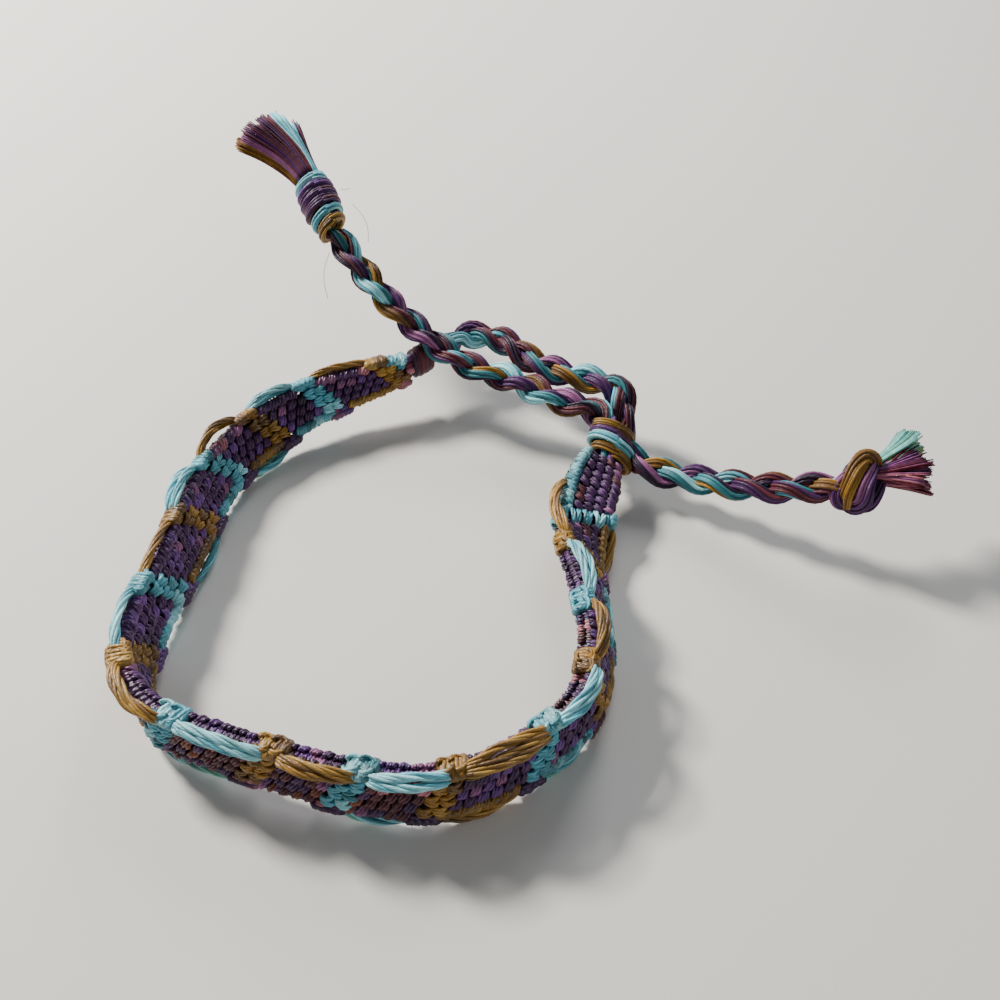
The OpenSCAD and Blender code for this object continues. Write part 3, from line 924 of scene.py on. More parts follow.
    def lay_loops(self, skein: Skein, spots: Array, tint: Array, size: float, painted_crease_shade: float | Array) -> None:
        """Lays loops of plied floss, given as spots on the band.

        Args:
            skein: Where the threads go.
            spots: Middle lines of the loops, as spots on the band.
            tint: Colour of each loop.
            size: Thickness of the floss as a share of the usual one.
            painted_crease_shade: Painted shade, the lightness of the ends, which dive between their
                neighbours, as a
            share of the crown's, or one for each loop.
        """
        paths = self.shape.place(spots)
        chord = paths[:, -1] - paths[:, 0]
        crown = paths[:, self.steps // 2] - (paths[:, 0] + paths[:, -1]) / 2.0
        beside = unit(np.cross(chord, crown))[:, None]
        phases = self.dye.phases(len(paths))
        # painted shade: each loop darkens from its crown towards its ends, where they dive between their
        # neighbours
        dive = np.cos(np.linspace(-0.5, 0.5, self.steps) * math.pi)[:, None] ** self.painted_shade_power
        painted_crease_shade = np.repeat(np.broadcast_to(painted_crease_shade, len(spots)), self.twist.plies)[:, None, None]
        shade = painted_crease_shade + (1.0 - painted_crease_shade) * dive
        colour = self.dye.fade(np.repeat(tint, self.twist.plies, axis=0))[:, None] * shade
        skein.lay_plied(self.twist, paths, beside, phases, colour, size, sides=5)

    def lay_fillers(self, skein: Skein, spots: Array, tint: Array) -> None:
        """Lays one thick flattened thread under each loop that wraps over an edge.

        Args:
            skein: Where the threads go.
            spots: Middle lines of the threads, as spots on the band.
            tint: Colour of each thread.
        """
        paths = self.shape.place(spots)
        across = self.shape.axes(spots[:, self.steps // 2, 0])[1]
        beside = unit(np.cross(paths[:, -1] - paths[:, 0], across))[:, None]
        skein.lay(paths, beside, self.filler_r, self.dye.fade(tint), flat=self.filler_flat, ends=0.7)

    def tints(self, knots: Knots, face: int) -> Array:
        """Colour of each loop: the bar's floss where the knot is light, or else one of the dark flosses.

        The outer face is tied in warmer flosses along the front, where the threads change places. On the
        inner face some rose shows in corners of the first blocks, and rose and teal at the right.

        Args:
            knots: The knots.
            face: 1 for the outer face and -1 for the inner one.

        Returns:
            Colours, two loops to a knot.
        """
        along, light = knots["along"], knots["light"]
        gold = knots["bar"] % 2 == 0
        drawn = {
            name: self.dye.plies(flosses, len(along), odds) for name, (flosses, odds) in KNOT_FLOSSES.items()
        }
        chosen = drawn["cool"]
        for name, where in (
            ("warm", (face > 0) & (along > self.front[0]) & (along < self.front[1])),
            ("bluish", (face > 0) & (along > self.front[1])),
            ("plummy", along > self.plummy_from),
            ("rosy", (face < 0) & (along < self.rosy_until) & (abs(knots["side"]) > self.rim_side) & gold),
            ("mixed", (face < 0) & (along > self.mixed[0]) & (along < self.mixed[1])),
            ("gold", light & gold),
            ("aqua", light & ~gold),
        ):
            chosen = np.where(where[:, None], drawn[name], chosen)
        return np.repeat(chosen, 2, axis=0)

    def lay_group(self, name: str, knots: Knots) -> Thing:
        """Makes one piece of some of the knots. Thicker loops over darker fillers wrap over the edges.

        Args:
            name: Name of the piece.
            knots: The knots that it holds.

        Returns:
            The piece.
        """
        skein = Skein(name)
        for face in (1, -1):
            tint = self.tints(knots, face)
            # painted crease shade, lighter where only the upper edge of the inner face shows
            lighter_painted_shade = (face < 0) & (knots["along"] > self.turned[0]) & (knots["along"] < self.turned[1])
            painted_crease_shade = np.repeat(np.where(lighter_painted_shade, self.painted_crease_shades[1], self.painted_crease_shades[0]), 2)
            self.lay_loops(skein, self.face_loops(knots, face), tint, 1.0, painted_crease_shade)
        for edge in (1, -1):
            rim = np.isclose(knots["side"] * edge, 1.0 - 1.0 / self.columns)
            if rim.any():
                loops = self.edge_loops(pick(knots, rim), edge)
                shades = tint[np.repeat(rim, 2)]
                self.lay_loops(skein, loops, shades, self.edge_size, self.edge_painted_crease_shade)
                # painted shade: the fillers under the edge loops are darker than the loops
                under = loops - np.array([0.0, edge * self.filler_shift, 0.0])
                self.lay_fillers(skein, under, self.filler_painted_shade * shades)
        return skein.cut(Finish.TIGHT)

    def build(self) -> list[Thing]:
        """Makes the knots of the dark blocks in three pieces, those of the bars in two, and the core.

        Returns:
            The pieces.
        """
        knots = self.knots()
        third = self.shape.route.total / 3.0
        part = np.clip((knots["along"] // third).astype(int), 0, 2)
        gold = knots["bar"] % 2 == 0
        groups = [(f"plum_knots_{k + 1}", ~knots["light"] & (part == k), "plum_thread") for k in range(3)]
        groups.append(("gold_bar_knots", knots["light"] & gold, "gold_thread"))
        groups.append(("aqua_bar_knots", knots["light"] & ~gold, "aqua_thread"))
        pieces = [self.lay_group(name, pick(knots, chosen)) for name, chosen, slot in groups]
        return pieces + [self.core()]

    def core(self) -> Thing:
        """The carried cords under the knots: a closed body a little inside them, lighter under the bars.

        A ring of it is cos(angle) * half width across and sin(angle) * half thickness out, and its colour
        blends from the dark flosses to the bar's own where a bar lies over it. These are aubergine, ochre
        and teal, darker than the knots' flosses: painted shade where the cords show between the knots.

        Returns:
            The piece.
        """
        along = np.linspace(0.0, self.shape.route.total, self.core_steps)
        middle, across, _, share = self.shape.axes(along)
        centre = self.shape.bar_share(along)
        width = (self.shape.half_width(centre) - self.core_inset) * share[:, 0]
        bar = np.abs(along[:, None] + self.shape.slant / 2.0 - BAR_PLACES).argmin(-1)
        # painted shade: ochre, teal and aubergine, darker than the flosses of the knots, where the cords
        # show between them
        light = np.where((bar % 2 == 0)[:, None], Floss.OCHRE.value, Floss.TEAL.value)
        tint = centre[:, None] * light + (1.0 - centre[:, None]) * np.array(Floss.AUBERGINE.value)
        skein = Skein("carried_cords")
        skein.lay(middle[None], across, width[None], tint[None], sides=16, flat=self.core_flat, ends=0.8)
        return skein.cut(Finish.INNER, ["woven_band"])


@dataclass
class EdgeFloats:
    """Loose flosses that run past a block from bar to bar along one edge."""

    shape: BandShape
    node: str
    edge: int  # 1 for the upper edge and -1 for the lower one
    bars: tuple[int, ...]  # the bars that the floats start from, counted from 0
    slot: str
    flosses: Flosses
    widest: tuple[int, ...] = (1, 3, 10)  # the bars whose upper floats hold one floss more
    threads: int = 2
    apart: float = 0.8
    twist: Twist = Twist(6, 0.19, 0.38, 0.95, 9.0)
    stray: float = 0.06
    steps: int = 20
    inset: float = 0.7
    edge_off: float = 1.1
    mid_off: float = 1.7
    roundness: float = 0.55  # power of the sine by which a float rises off the band
    gather: float = 0.5  # how far its flosses draw together at its ends, as a share
    depth: float = 0.6  # how far every second floss lies closer to the band
    drooping: int = 6  # the first bar whose upper float droops, where the flosses lie level
    dye: Dye = field(default_factory=lambda: Dye(SEED + 1, 0.2))

    def middle(self, index: int) -> tuple[Array, Array, Array]:
        """Middle line of one float and the directions beside it and away from the band.

        It stands off the rounded edge of the band by edge_off at its ends and by mid_off and its bulge in
        its middle, after a power of a sine. On the upper edge it droops over the outer face.

        Args:
            index: The bar that it starts from.

        Returns:
            The line and the two directions.
        """
        upper = self.edge > 0
        shift = 0.0 if upper else -self.shape.slant
        t = np.linspace(0.0, 1.0, self.steps)
        start = BAR_PLACES[index] + self.inset + shift
        end = BAR_PLACES[index + 1] - self.inset + shift
        along = start + (end - start) * t
        place, across, outward, share = self.shape.axes(along)
        bulge = UPPER_BULGES[index] if upper else LOWER_BULGE
        turn = np.radians(np.interp(along, DROOP_PLACES, DROOP_DEGREES) * upper)[:, None]
        across = across * self.edge
        away = across * np.cos(turn) + outward * np.sin(turn)
        beside = outward * np.cos(turn) - across * np.sin(turn)
        core = (self.shape.block_w * share - self.shape.block_t) / 2.0
        rise = np.clip(np.sin(np.pi * t), 0.0, 1.0)[:, None] ** self.roundness
        off = self.edge_off + (self.mid_off + bulge - self.edge_off) * rise
        return place + across * core + away * off, beside, away

    def build(self) -> Thing:
        """Lays all floats of this colour and edge into one piece, which stands for its node.

        Returns:
            The piece.
        """
        skein = Skein(f"{self.node}_floss")
        for index in self.bars:
            middle, beside, away = self.middle(index)
            threads = self.threads + (self.edge > 0 and index in self.widest)
            swell = np.sin(np.linspace(0.0, np.pi, self.steps))[:, None]
            places = (np.arange(threads) - (threads - 1) / 2.0) * self.apart
            places = places + self.dye.draw.normal(0.0, self.stray, threads)
            depths = self.depth * (np.arange(threads) % 2) * (index < self.drooping)
            paths = middle + beside * places[:, None, None] * (1.0 - self.gather + self.gather * swell)
            paths = paths - away * swell * depths[:, None, None]
            phases = self.dye.phases(threads)
            colour = self.dye.plies(self.flosses, threads * self.twist.plies)
            skein.lay_plied(self.twist, paths, beside, phases, colour)
        return skein.cut(Finish.SATIN, [self.node])


@dataclass
class BraidedTie:
    """A three-strand braid along its route, each strand a bundle of plied flosses."""

    name: str
    route: Route
    held: float  # length at which a neck grips the braid, or 0
    strands: tuple[Flosses, ...]  # flosses of each strand, sector by sector
    slots: tuple[str, ...]
    lead: float = 0.0  # length hidden in a neck before the braid's first turn
    swing: float = 1.05
    lift: float = 0.75
    pitch: float = 14.0
    end_share: float = 0.9
    end_run: float = 3.0
    grip_share: float = 0.72
    grip_half: float = 1.2
    grip_run: float = 4.0
    twist: Twist = Twist(18, 0.21, 0.82, 0.95, 26.0)
    ring_step: float = 0.6
    dye: Dye = field(default_factory=lambda: Dye(SEED + 2, 0.16))

    def fullness(self, along: Array) -> Array:
        """How full the braid is: drawn in at both ends and where a neck grips it.

        Args:
            along: Lengths along the route.

        Returns:
            The size there, as a share of the full size.
        """
        total = self.route.total
        inward = smooth(np.minimum(along, total - along) / self.end_run)
        ends = self.end_share + (1.0 - self.end_share) * inward
        if not self.held:
            return ends
        near = smooth((self.grip_half + self.grip_run - np.abs(along - self.held)) / self.grip_run)
        return ends * (1.0 - (1.0 - self.grip_share) * near)

    def strand(self, number: int) -> tuple[Array, Array, Array]:
        """Middle line of one strand: side to side by sin(turn), up and down by sin(2 turn).

        Args:
            number: 1 to 3, a third of a turn apart.

        Returns:
            The line, the direction beside it and the fullness along it.
        """
        along = np.linspace(0.0, self.route.total, round(self.route.total / self.ring_step))
        ahead = self.route.heading(along)
        beside, above = level_axes(ahead)
        turn = TURN * ((along - self.lead) / self.pitch + number / 3.0)
        full = self.fullness(along)[:, None]
        sway = beside * self.swing * np.sin(turn)[:, None] + above * self.lift * np.sin(2.0 * turn)[:, None]
        return self.route.at(along)[:, :3] + full * sway, beside, full[:, 0]

    def build(self) -> list[Thing]:
        """Makes the three strands, each standing for its own node.

        Returns:
            The pieces.
        """
        pieces = []
        for number, (flosses, slot) in enumerate(zip(self.strands, self.slots), start=1):
            node = f"{self.name}_strand_{number}"
            line, beside, full = self.strand(number)
            phases = self.dye.phases(1)
            colour = self.dye.fade(sector_colours(flosses, self.twist.plies))
            skein = Skein(f"{node}_floss")
            skein.lay_plied(self.twist, line[None], beside, phases, colour, full, ends=0.8)
            pieces.append(skein.cut(Finish.BRAIDED, [node]))
        return pieces


@dataclass(frozen=True)
class Wrap:
    """One turn of floss round a neck or a knot."""

    flosses: Flosses
    at: float  # its place, from 0 to 1 along the piece
    tilt: float = 0.0  # how far its left side lies ahead of its right side
    girth: float = 1.0  # size as a share of the piece's
    width: float = 0.5  # spread of its plies along the piece

    @property
    def twist(self) -> Twist:
        """How its plies wind."""
        return Twist(plies=9, ply_r=0.2, spread=self.width, flat=0.6, pitch=40.0)


@dataclass
class WoundPiece:
    """Flosses wound round a bundle of cords: a wrapped neck or a knot."""

    node: str
    ends: tuple[Triple, ...]  # both ends of its middle line
    half: Pair  # half size sideways and half size upwards
    wraps: tuple[Wrap, ...]
    slot: str
    cord_half: Pair
    cord_flosses: Flosses
    cord_reach: Pair  # how far the cords run on past each end
    cord_taper: float = 0.2  # how much narrower the bundle of cords is at its ends, as a share
    cord_fill: float = 0.9
    cord_steps: int = 12
    roll: float = 0.0  # turn of the two directions about the middle line, in degrees
    shift: float = 0.0  # how far the wraps stand off the middle line, sideways
    swell: float = 0.2  # how much thinner the ends are than the middle, as a share
    swell_span: Pair = (0.12, 0.76)  # where the swelling's sine starts and its run, in half turns
    steps: int = 40
    lap: float = 1.12  # turns of a wrap, with its tucked ends
    middle: float = 270.0  # angle at which the middle of a wrap lies, opposite its ends, in degrees
    climb: float = 0.12
    tuck: float = 0.35
    tucked: float = 0.1  # share of each half turn over which its end tucks in
    dye: Dye = field(default_factory=lambda: Dye(SEED + 3, 0.16))

    def axes(self) -> tuple[Array, Array, Array, Array, float]:
        """Axes of the piece.

        Returns:
            The start, the direction, the two directions square to it, and the length.
        """
        start, end = (np.array(place) for place in self.ends)
        ahead = unit(end - start)
        left, above = level_axes(ahead)
        roll = math.radians(self.roll)
        side = left * math.cos(roll) + above * math.sin(roll)
        rise = above * math.cos(roll) - left * math.sin(roll)
        return start, ahead, side, rise, float(np.linalg.norm(end - start))

    def lay_wrap(self, skein: Skein, wrap: Wrap) -> None:
        """Lays one turn: an ellipse round the middle line that tilts by the cosine and tucks in at its ends.

        Args:
            skein: Where the threads go.
            wrap: The turn of floss.
        """
        start, ahead, side, rise, length = self.axes()
        t = np.linspace(-1.0, 1.0, self.steps)[:, None]
        angle = math.radians(self.middle) + t * math.pi * self.lap
        first, run = self.swell_span
        barrel = 1.0 - self.swell + self.swell * math.sin(math.pi * (first + run * wrap.at))
        tuck = 1.0 - self.tuck * smooth((np.abs(t) - 1.0 + self.tucked) / self.tucked)
        size = wrap.girth * barrel * tuck
        slope = wrap.tilt * np.cos(angle) + self.climb * t
        centre = start + side * self.shift + ahead * (length * wrap.at + slope)
        path = centre + size * (side * self.half[0] * np.cos(angle) + rise * self.half[1] * np.sin(angle))
        phases = self.dye.phases(1)
        colour = self.dye.plies(wrap.flosses, wrap.twist.plies)
        skein.lay_plied(wrap.twist, path[None], ahead, phases, colour, ends=0.6)

    def lay_cords(self, skein: Skein) -> None:
        """Lays the bundle inside: straight cords spread over an ellipse, drawn in a little at the ends.

        Args:
            skein: Where the threads go.
        """
        start, ahead, side, rise, length = self.axes()
        across, up = self.cord_half
        spots = ply_places(len(self.cord_flosses))
        t = np.linspace(0.0, 1.0, self.cord_steps)[:, None]
        reach = -self.cord_reach[0] + (length + sum(self.cord_reach)) * t
        offset = side * (spots[:, :1] * across) + rise * (spots[:, 1:] * up)
        narrow = 1.0 - self.cord_taper + self.cord_taper * np.sin(np.pi * t)
        paths = start + ahead * reach + offset[:, None] * narrow
        colour = self.dye.fade(np.array([floss.value for floss in self.cord_flosses]))
        thick = self.cord_fill * math.sqrt(across * up / len(self.cord_flosses))
        skein.lay(paths, side, thick, colour, sides=8, ends=0.7)

    def build(self) -> Thing:
        """Makes the piece, which stands for its node.

        Returns:
            The piece.
        """
        skein = Skein(self.node.replace("_wrap", "") + "_floss")
        self.lay_cords(skein)
        for wrap in self.wraps:
            self.lay_wrap(skein, wrap)
        return skein.cut(Finish.BRAIDED, [self.node])


@dataclass
class BentKnot:
    """A knot of bundles of floss that bend over and behind one another."""

    node: str
    slot: str
    bends: Sequence[Rows]  # for each bundle the places that it passes through, with its radius there
    flosses: Sequence[Flosses]  # for each bundle its flosses, sector by sector
    twist: Twist = Twist(21, 0.24, 1.0, 1.0, 30.0)  # for a bundle of radius 1
    steps: int = 26
    toward: Triple = (-0.35, -0.65, 0.67)  # a direction that no bundle runs along
    dye: Dye = field(default_factory=lambda: Dye(SEED + 7, 0.18))

    def build(self) -> Thing:
        """Makes the piece, which stands for its node.

        Returns:
            The piece.
        """
        skein = Skein(f"{self.node}_floss")
        for bend, flosses in zip(self.bends, self.flosses):
            route = Route(bend)
            rows = route.at(np.linspace(0.0, route.total, self.steps))
            line, radius = rows[None, :, :3], rows[:, 3]
            phases = self.dye.phases(1)
            colour = self.dye.fade(sector_colours(flosses, self.twist.plies))
            skein.lay_plied(self.twist, line, np.array(self.toward), phases, colour, radius)
        return skein.cut(Finish.BRAIDED, [self.node])


@dataclass
class Tassel:
    """Cut ends of floss beyond a knot, in locks of one colour each."""

    node: str
    knot: tuple[Triple, ...]  # both ends of the knot that the tassel leaves
    root_r: float  # radius of the bundle at the knot
    locks: Rows  # where the tips go
    bands: tuple[tuple[float, Flosses], ...]  # flosses, each with the place across where it ends
    ply_r: float = 0.12
    tip_up: float = 1.5
    bend: float = 0.7
    slot: str = "mauve_thread"
    count: int = 900
    tufts: int = 28
    gather: float = 0.3  # how far the plies of a tuft draw together
    hidden: float = 0.6  # length inside the knot
    drawn: float = 0.3  # how much narrower the bundle gets towards its tips, as a share
    wave: float = 0.12
    tuft_stray: Triple = (0.16, 0.3, 0.16)  # how far tufts stray sideways, along and upwards
    ply_stray: Triple = (0.06, 0.12, 0.08)  # how far plies stray from their tufts
    mingle: float = 0.02  # how far plies stray into the next colour
    steps: int = 8
    dye: Dye = field(default_factory=lambda: Dye(SEED + 4, 0.22))

    def colours(self, across: Array) -> Array:
        """Colour of each ply by its place across the tassel.

        Args:
            across: Places from 1 on the left to -1 on the right.

        Returns:
            The colours.
        """
        tint = np.zeros((len(across), 3))
        upper = 1.01
        for lower, flosses in self.bands:
            inside = (across <= upper) & (across > lower)
            tint[inside] = self.dye.plies(flosses, int(inside.sum()))
            upper = lower
        return tint

    def build(self) -> Thing:
        """Lays the plies from places on a disc at the knot to tips spread as the locks say.

        A ply's way sideways is (1 - bend) t + bend t squared of its tip's, with t from 0 at the knot.

        Returns:
            The piece, which stands for its node.
        """
        start, end = (np.array(place) for place in self.knot)
        ahead = unit(end - start)
        left, above = level_axes(ahead)
        spots = ply_places(self.count)
        heads = ply_places(self.tufts)
        tuft = np.linalg.norm(spots[:, None] - heads[None], axis=-1).argmin(axis=1)
        stray = self.dye.draw.normal(0.0, 1.0, (self.tufts, 6))[tuft]
        own = self.dye.draw.normal(0.0, 1.0, (self.count, 3))
        gathered = spots + self.gather * (heads[tuft] - spots)
        places, spread, reach = np.array(self.locks).T
        off = self.tuft_stray * stray[:, :3] + self.ply_stray * own
        sideways = np.interp(gathered[:, 0], places, spread) + off[:, 0]
        length = np.interp(spots[:, 0], places, reach) + off[:, 1]
        upwards = gathered[:, 1] * self.tip_up + off[:, 2]
        t = np.linspace(0.0, 1.0, self.steps)[:, None]
        bow = (1.0 - self.bend) * t + self.bend * t * t
        wave = self.wave * stray[:, None, 3:] * np.sin(1.5 * np.pi * t)
        root = left * (spots[:, :1] * self.root_r) + above * (spots[:, 1:] * self.root_r)
        tips = left * sideways[:, None] + above * upwards[:, None]
        run = -self.hidden + (length[:, None, None] + self.hidden) * t
        paths = end + root[:, None] * (1.0 - self.drawn * bow) + ahead * run + tips[:, None] * bow + wave
        skein = Skein(f"{self.node}_floss")
        colour = self.colours(gathered[:, 0] + self.mingle * own[:, 0])
        skein.lay(paths, left, self.ply_r, colour, sides=4, ends=0.6)
        return skein.cut(Finish.CUT, [self.node])


@dataclass
class StrayFibres:
    """A few loose fibres that stand off the knots, as hairs bowed sideways by a sine."""

    rows: Rows
    radius: float = 0.035

    def build(self) -> Thing:
        """Lays each fibre from its start to its end.

        Returns:
            The piece.
        """
        rows = np.array(self.rows)[:, None]
        t = np.linspace(0.0, 1.0, 14)[:, None]
        start, end = rows[..., 0:3], rows[..., 3:6]
        paths = start + (end - start) * t + np.cross(end - start, UP) * rows[..., 6:7] * np.sin(np.pi * t)
        skein = Skein("stray_fibres")
        skein.lay(paths, UP, self.radius, np.array([Floss.MAUVE.value] * len(rows)), sides=4)
        return skein.cut(Finish.CUT)


@dataclass(frozen=True)
class StageFinish:
    """Plain pale paper for the floor."""

    colour: tuple[float, float, float, float] = (0.72, 0.69, 0.64, 1.0)
    roughness: float = 0.7

    def material(self) -> bpy.types.Material:
        """Builds the material.

        Returns:
            The material.
        """
        made = bpy.data.materials.new("pale_floor")
        made.use_nodes = True
        shader = {"Base Color": self.colour, "Roughness": self.roughness}
        NodeGraph(made.node_tree).feed(made.node_tree.nodes["Principled BSDF"], shader)
        return made


@dataclass(frozen=True)
class SoftLight:
    """A square soft light that faces the middle of the floor. Lengths are in metres, the power in watts."""

    name: str
    place: Triple
    size: float
    power: float
    colour: Triple


@dataclass
class Studio:
    """The floor, the soft lights and the camera. Lengths are in metres."""

    distance: float = 0.128  # from the camera to the point that it looks at
    elevation: float = 47.0  # of the camera over the floor, in degrees
    lens: float = 36.0
    sensor: float = 36.0
    floor_half: float = 1.2
    sky: tuple[float, float, float, float] = (0.86, 0.92, 1.0, 1.0)
    sky_strength: float = 0.19
    lights: tuple[SoftLight, ...] = (
        SoftLight("key_light", (-0.34, 0.24, 0.32), 0.09, 6.0, (1.0, 0.97, 0.92)),
        SoftLight("back_light", (0.10, 0.44, 0.32), 0.2, 1.5, (0.92, 0.96, 1.0)),
        SoftLight("front_fill", (0.26, -0.36, 0.26), 0.1, 0.35, (0.95, 0.97, 1.0)),
    )

    def build(self) -> None:
        """Makes the floor, the world, the lights and the camera."""
        self.floor()
        self.world()
        for light in self.lights:
            self.light(light)
        self.camera()

    def floor(self) -> None:
        """A wide flat sheet at the height of the surface."""
        half = self.floor_half
        mesh = bpy.data.meshes.new("floor")
        corners = [(-half, -half, 0.0), (half, -half, 0.0), (half, half, 0.0), (-half, half, 0.0)]
        mesh.from_pydata(corners, [], [(0, 1, 2, 3)])
        mesh.materials.append(StageFinish().material())
        sheet = bpy.data.objects.new("floor", mesh)
        bpy.context.scene.collection.objects.link(sheet)

    def world(self) -> None:
        """An even pale sky."""
        sky = bpy.data.worlds.new("studio")
        sky.use_nodes = True
        background = sky.node_tree.nodes["Background"]
        background.inputs["Color"].default_value = self.sky
        background.inputs["Strength"].default_value = self.sky_strength
        bpy.context.scene.world = sky

    def light(self, light: SoftLight) -> None:
        """Makes one of the lights.

        Args:
            light: Its name, place, size, power and colour.
        """
        data = bpy.data.lights.new(light.name, "AREA")
        data.size = light.size
        data.energy = light.power
        data.color = light.colour
        self.stand(bpy.data.objects.new(light.name, data), np.array(light.place), np.zeros(3))

    def camera(self) -> None:
        """The camera at the photograph's angle, as far above the point it looks at as the elevation says."""
        data = bpy.data.cameras.new("camera")
        data.lens = self.lens
        data.sensor_width = self.sensor
        data.clip_start = 0.005
        data.clip_end = 10.0
        target = TO_FRAME * MM
        rise = math.radians(self.elevation)
        place = target + self.distance * np.array([0.0, -math.cos(rise), math.sin(rise)])
        eye = bpy.data.objects.new("camera", data)
        self.stand(eye, place, target)
        bpy.context.scene.camera = eye

    @staticmethod
    def stand(thing: Thing, place: Array, target: Array) -> None:
        """Puts a light or the camera at its place, with its -Z axis to the target and its X axis level.

        Args:
            thing: The object.
            place: Where it stands.
            target: Where it points.
        """
        way = target - place
        level = math.hypot(way[0], way[1])
        bpy.context.scene.collection.objects.link(thing)
        thing.location = place
        thing.rotation_euler = (math.atan2(level, -way[2]), 0.0, math.atan2(-way[0], way[1]))


def dress_band() -> list[Thing]:
    """Makes the knots and the floats of the band.

    Returns:
        The pieces.
    """
    shape = BandShape(Route(BAND_ROWS))
    gold = (Floss.GOLD, Floss.GOLD, Floss.OCHRE, Floss.PALE_GOLD)
    aqua = (Floss.AQUA, Floss.PALE_AQUA, Floss.PALE_AQUA)
    # painted shade: darker teal and sea-green among the lower aqua floats' flosses, for where they lie in
    # shadow along the front
    shaded = (Floss.AQUA, Floss.PALE_AQUA, Floss.TEAL, Floss.SEA)
    floats = (
        EdgeFloats(shape, "upper_floats_gold", 1, (0, 2, 4, 6, 8, 10, 12, 14), "gold_thread", gold),
        EdgeFloats(shape, "upper_floats_aqua", 1, (1, 3, 5, 7, 9, 11, 13), "aqua_thread", aqua),
        EdgeFloats(shape, "lower_floats_gold", -1, (10, 12, 14), "gold_thread", gold),
        EdgeFloats(shape, "lower_floats_aqua", -1, (2, 4, 7, 9, 11, 13), "aqua_thread", shaded),
    )
    return KnottedBand(shape).build() + [each.build() for each in floats]


def dress_ties() -> list[Thing]:
    """Makes the strands of both braided ties.

    Returns:
        The pieces.
    """
    blue = (Floss.AQUA, Floss.PALE_AQUA, Floss.TEAL, Floss.PLUM, Floss.MAROON)
    dark = (Floss.PLUM, Floss.MAUVE, Floss.AUBERGINE, Floss.MAROON, Floss.PLUM)
    warm = (Floss.GOLD, Floss.OCHRE, Floss.MAROON, Floss.AUBERGINE, Floss.TEAL)
    right_slots = ("aqua_thread", "plum_thread", "gold_thread")
    left_slots = ("plum_thread", "aqua_thread", "gold_thread")
    right = BraidedTie("right_tie", Route(RIGHT_TIE_ROUTE), 37.0, (blue, dark, warm), right_slots)
    left = BraidedTie(
        "left_tie", Route(LEFT_TIE_ROUTE), 0.0, (dark, blue, warm), left_slots, lead=2.0, dye=Dye(SEED + 5)
    )
    return right.build() + left.build()


def dress_necks() -> list[Thing]:
    """Makes the wrapped necks at both ends of the band.

    Returns:
        The pieces.
    """
    maroon = (Floss.MAROON, Floss.MAROON, Floss.AUBERGINE)
    gold = (Floss.GOLD, Floss.PALE_GOLD, Floss.OCHRE, Floss.GOLD)
    aqua = (Floss.AQUA, Floss.PALE_AQUA, Floss.PALE_AQUA, Floss.TEAL)
    plum = (Floss.PLUM, Floss.MAUVE, Floss.MAROON, Floss.PLUM)
    left = WoundPiece(
        "left_neck_wrap",
        LEFT_NECK_ENDS,
        (1.35, 2.0),
        tuple(Wrap(maroon, 0.1 + 0.27 * k, tilt=0.2, width=0.36) for k in range(4)),
        "maroon_thread",
        (1.1, 1.7),
        (Floss.PLUM, Floss.MAROON, Floss.GOLD, Floss.TEAL, Floss.ROSE, Floss.AUBERGINE, Floss.PLUM),
        (1.4, 0.9),
    )
    right = WoundPiece(
        "right_neck_wrap",
        RIGHT_NECK_ENDS,
        (2.75, 2.0),
        (
            Wrap(gold, 0.0, tilt=1.1, girth=0.94, width=0.56),
            Wrap(aqua, 0.32, tilt=1.2, girth=1.05, width=0.56),
            Wrap(plum, 0.62, tilt=0.9, girth=0.97, width=0.46),
            Wrap(gold, 0.92, tilt=0.6),
        ),
        "gold_thread",
        (1.3, 1.5),
        (Floss.PLUM, Floss.MAUVE, Floss.GOLD, Floss.TEAL, Floss.ROSE, Floss.PLUM, Floss.VIOLET, Floss.OCHRE),
        (1.6, 1.4),
        roll=20.0,
        shift=-0.75,
        swell=0.1,
    )
    return [left.build(), right.build()]


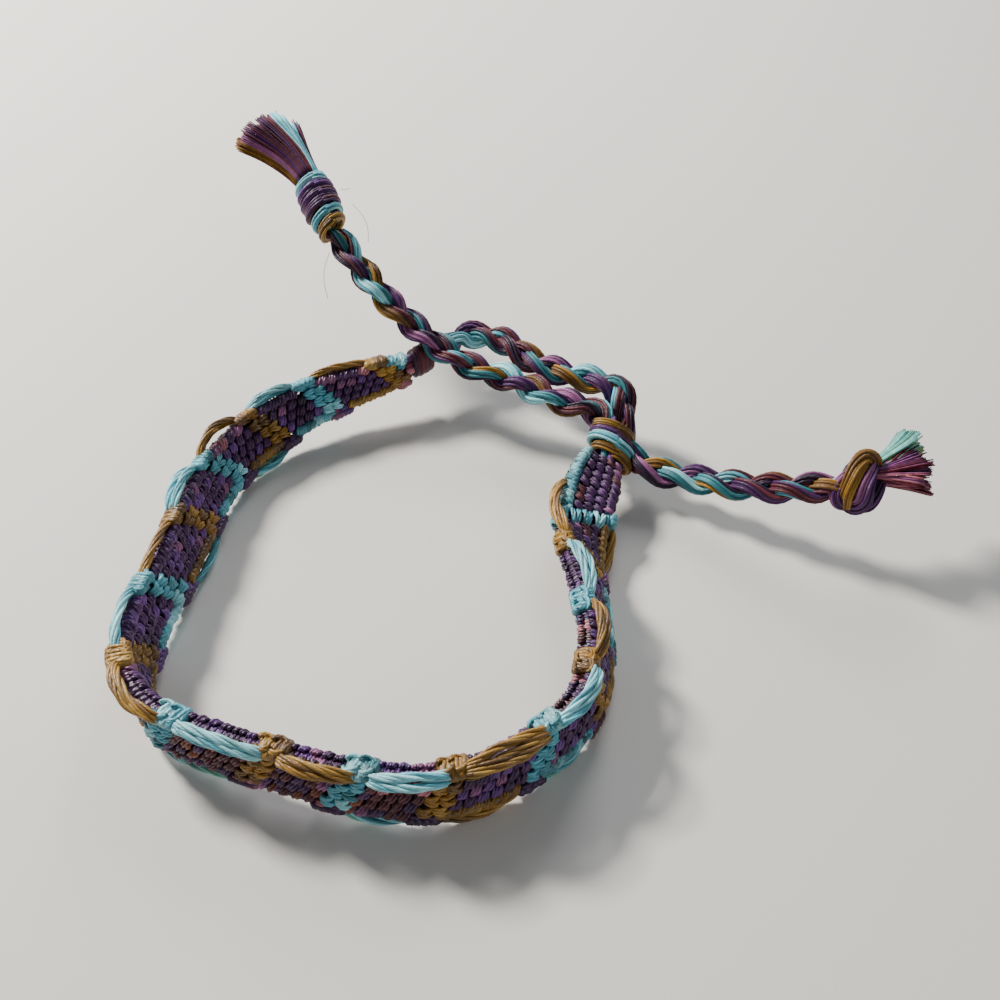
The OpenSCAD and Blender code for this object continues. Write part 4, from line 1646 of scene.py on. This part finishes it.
def dress_knots() -> list[Thing]:
    """Makes the barrel knot and the overhand knot.

    Returns:
        The pieces.
    """
    gold = (Floss.GOLD, Floss.OCHRE, Floss.PALE_GOLD, Floss.GOLD)
    aqua = (Floss.AQUA, Floss.PALE_AQUA, Floss.TEAL)
    plum = (Floss.PLUM, Floss.MAROON, Floss.PLUM, Floss.VIOLET, Floss.PLUM)
    barrel = WoundPiece(
        "left_tie_knot",
        BARREL_ENDS,
        (2.35, 2.3),
        (
            Wrap(gold, 0.05, tilt=-0.9, girth=0.86, width=0.66),
            Wrap(aqua, 0.23, tilt=-0.8, girth=0.95, width=0.46),
            Wrap(plum, 0.40, tilt=-0.65, width=0.6),
            Wrap(plum, 0.56, tilt=-0.6, width=0.6),
            Wrap(plum, 0.72, tilt=-0.6, width=0.6),
            Wrap(aqua, 0.89, tilt=-0.5, girth=0.96, width=0.6),
        ),
        "plum_thread",
        (1.5, 1.5),
        (Floss.AUBERGINE,) * 7,
        (-1.2, -0.8),
        swell=0.25,
    )
    arch = (Floss.GOLD, Floss.OCHRE, Floss.GOLD, Floss.PALE_GOLD, Floss.OCHRE)
    mauve = (Floss.PLUM, Floss.MAUVE, Floss.MAROON, Floss.MAUVE, Floss.PLUM)
    maroon = (Floss.MAROON, Floss.PLUM, Floss.AUBERGINE)
    flosses = (arch, mauve, maroon, mauve, maroon, maroon)
    overhand = BentKnot("right_tie_knot", "gold_thread", OVERHAND_BENDS, flosses)
    return [barrel.build(), overhand.build()]


def dress_tassels() -> list[Thing]:
    """Makes the two tassels and the stray fibres beside the knots.

    Returns:
        The pieces.
    """
    left_bands = (
        (0.8, (Floss.GOLD, Floss.OCHRE, Floss.BRICK)),
        (0.64, (Floss.MAUVE, Floss.PLUM, Floss.MAROON)),
        (-0.34, (Floss.MAROON, Floss.PLUM, Floss.MAROON, Floss.AUBERGINE)),
        (-0.88, (Floss.PALE_AQUA, Floss.AQUA)),
        (-1.3, (Floss.PLUM, Floss.MAROON)),
    )
    right_bands = (
        (0.33, (Floss.SEA, Floss.PALE_AQUA, Floss.SEA, Floss.TEAL)),
        (0.22, (Floss.STRAW, Floss.SEA)),
        (-0.4, (Floss.PLUM, Floss.MAROON, Floss.MAUVE, Floss.AUBERGINE)),
        (-1.3, (Floss.MAUVE, Floss.ROSE, Floss.MAROON)),
    )
    left = Tassel("left_tie_tassel", BARREL_ENDS, 1.75, LEFT_LOCKS, left_bands)
    right = Tassel("right_tie_tassel", OVERHAND_ENDS, 0.8, RIGHT_LOCKS, right_bands, 0.14, 1.0, 0.3)
    right.dye = Dye(SEED + 6, 0.22)
    return [left.build(), right.build(), StrayFibres(HAIRS).build()]


def main() -> None:
    """Builds the bracelet piece by piece, then the studio."""
    logging.basicConfig(level=logging.INFO, format="%(name)s: %(message)s")
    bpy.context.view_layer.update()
    for build in (dress_band, dress_ties, dress_necks, dress_knots, dress_tassels):
        pieces = build()
        LOG.info("%s made %d pieces", build.__name__, len(pieces))
    Studio().build()


if __name__ == "__main__":
    main()
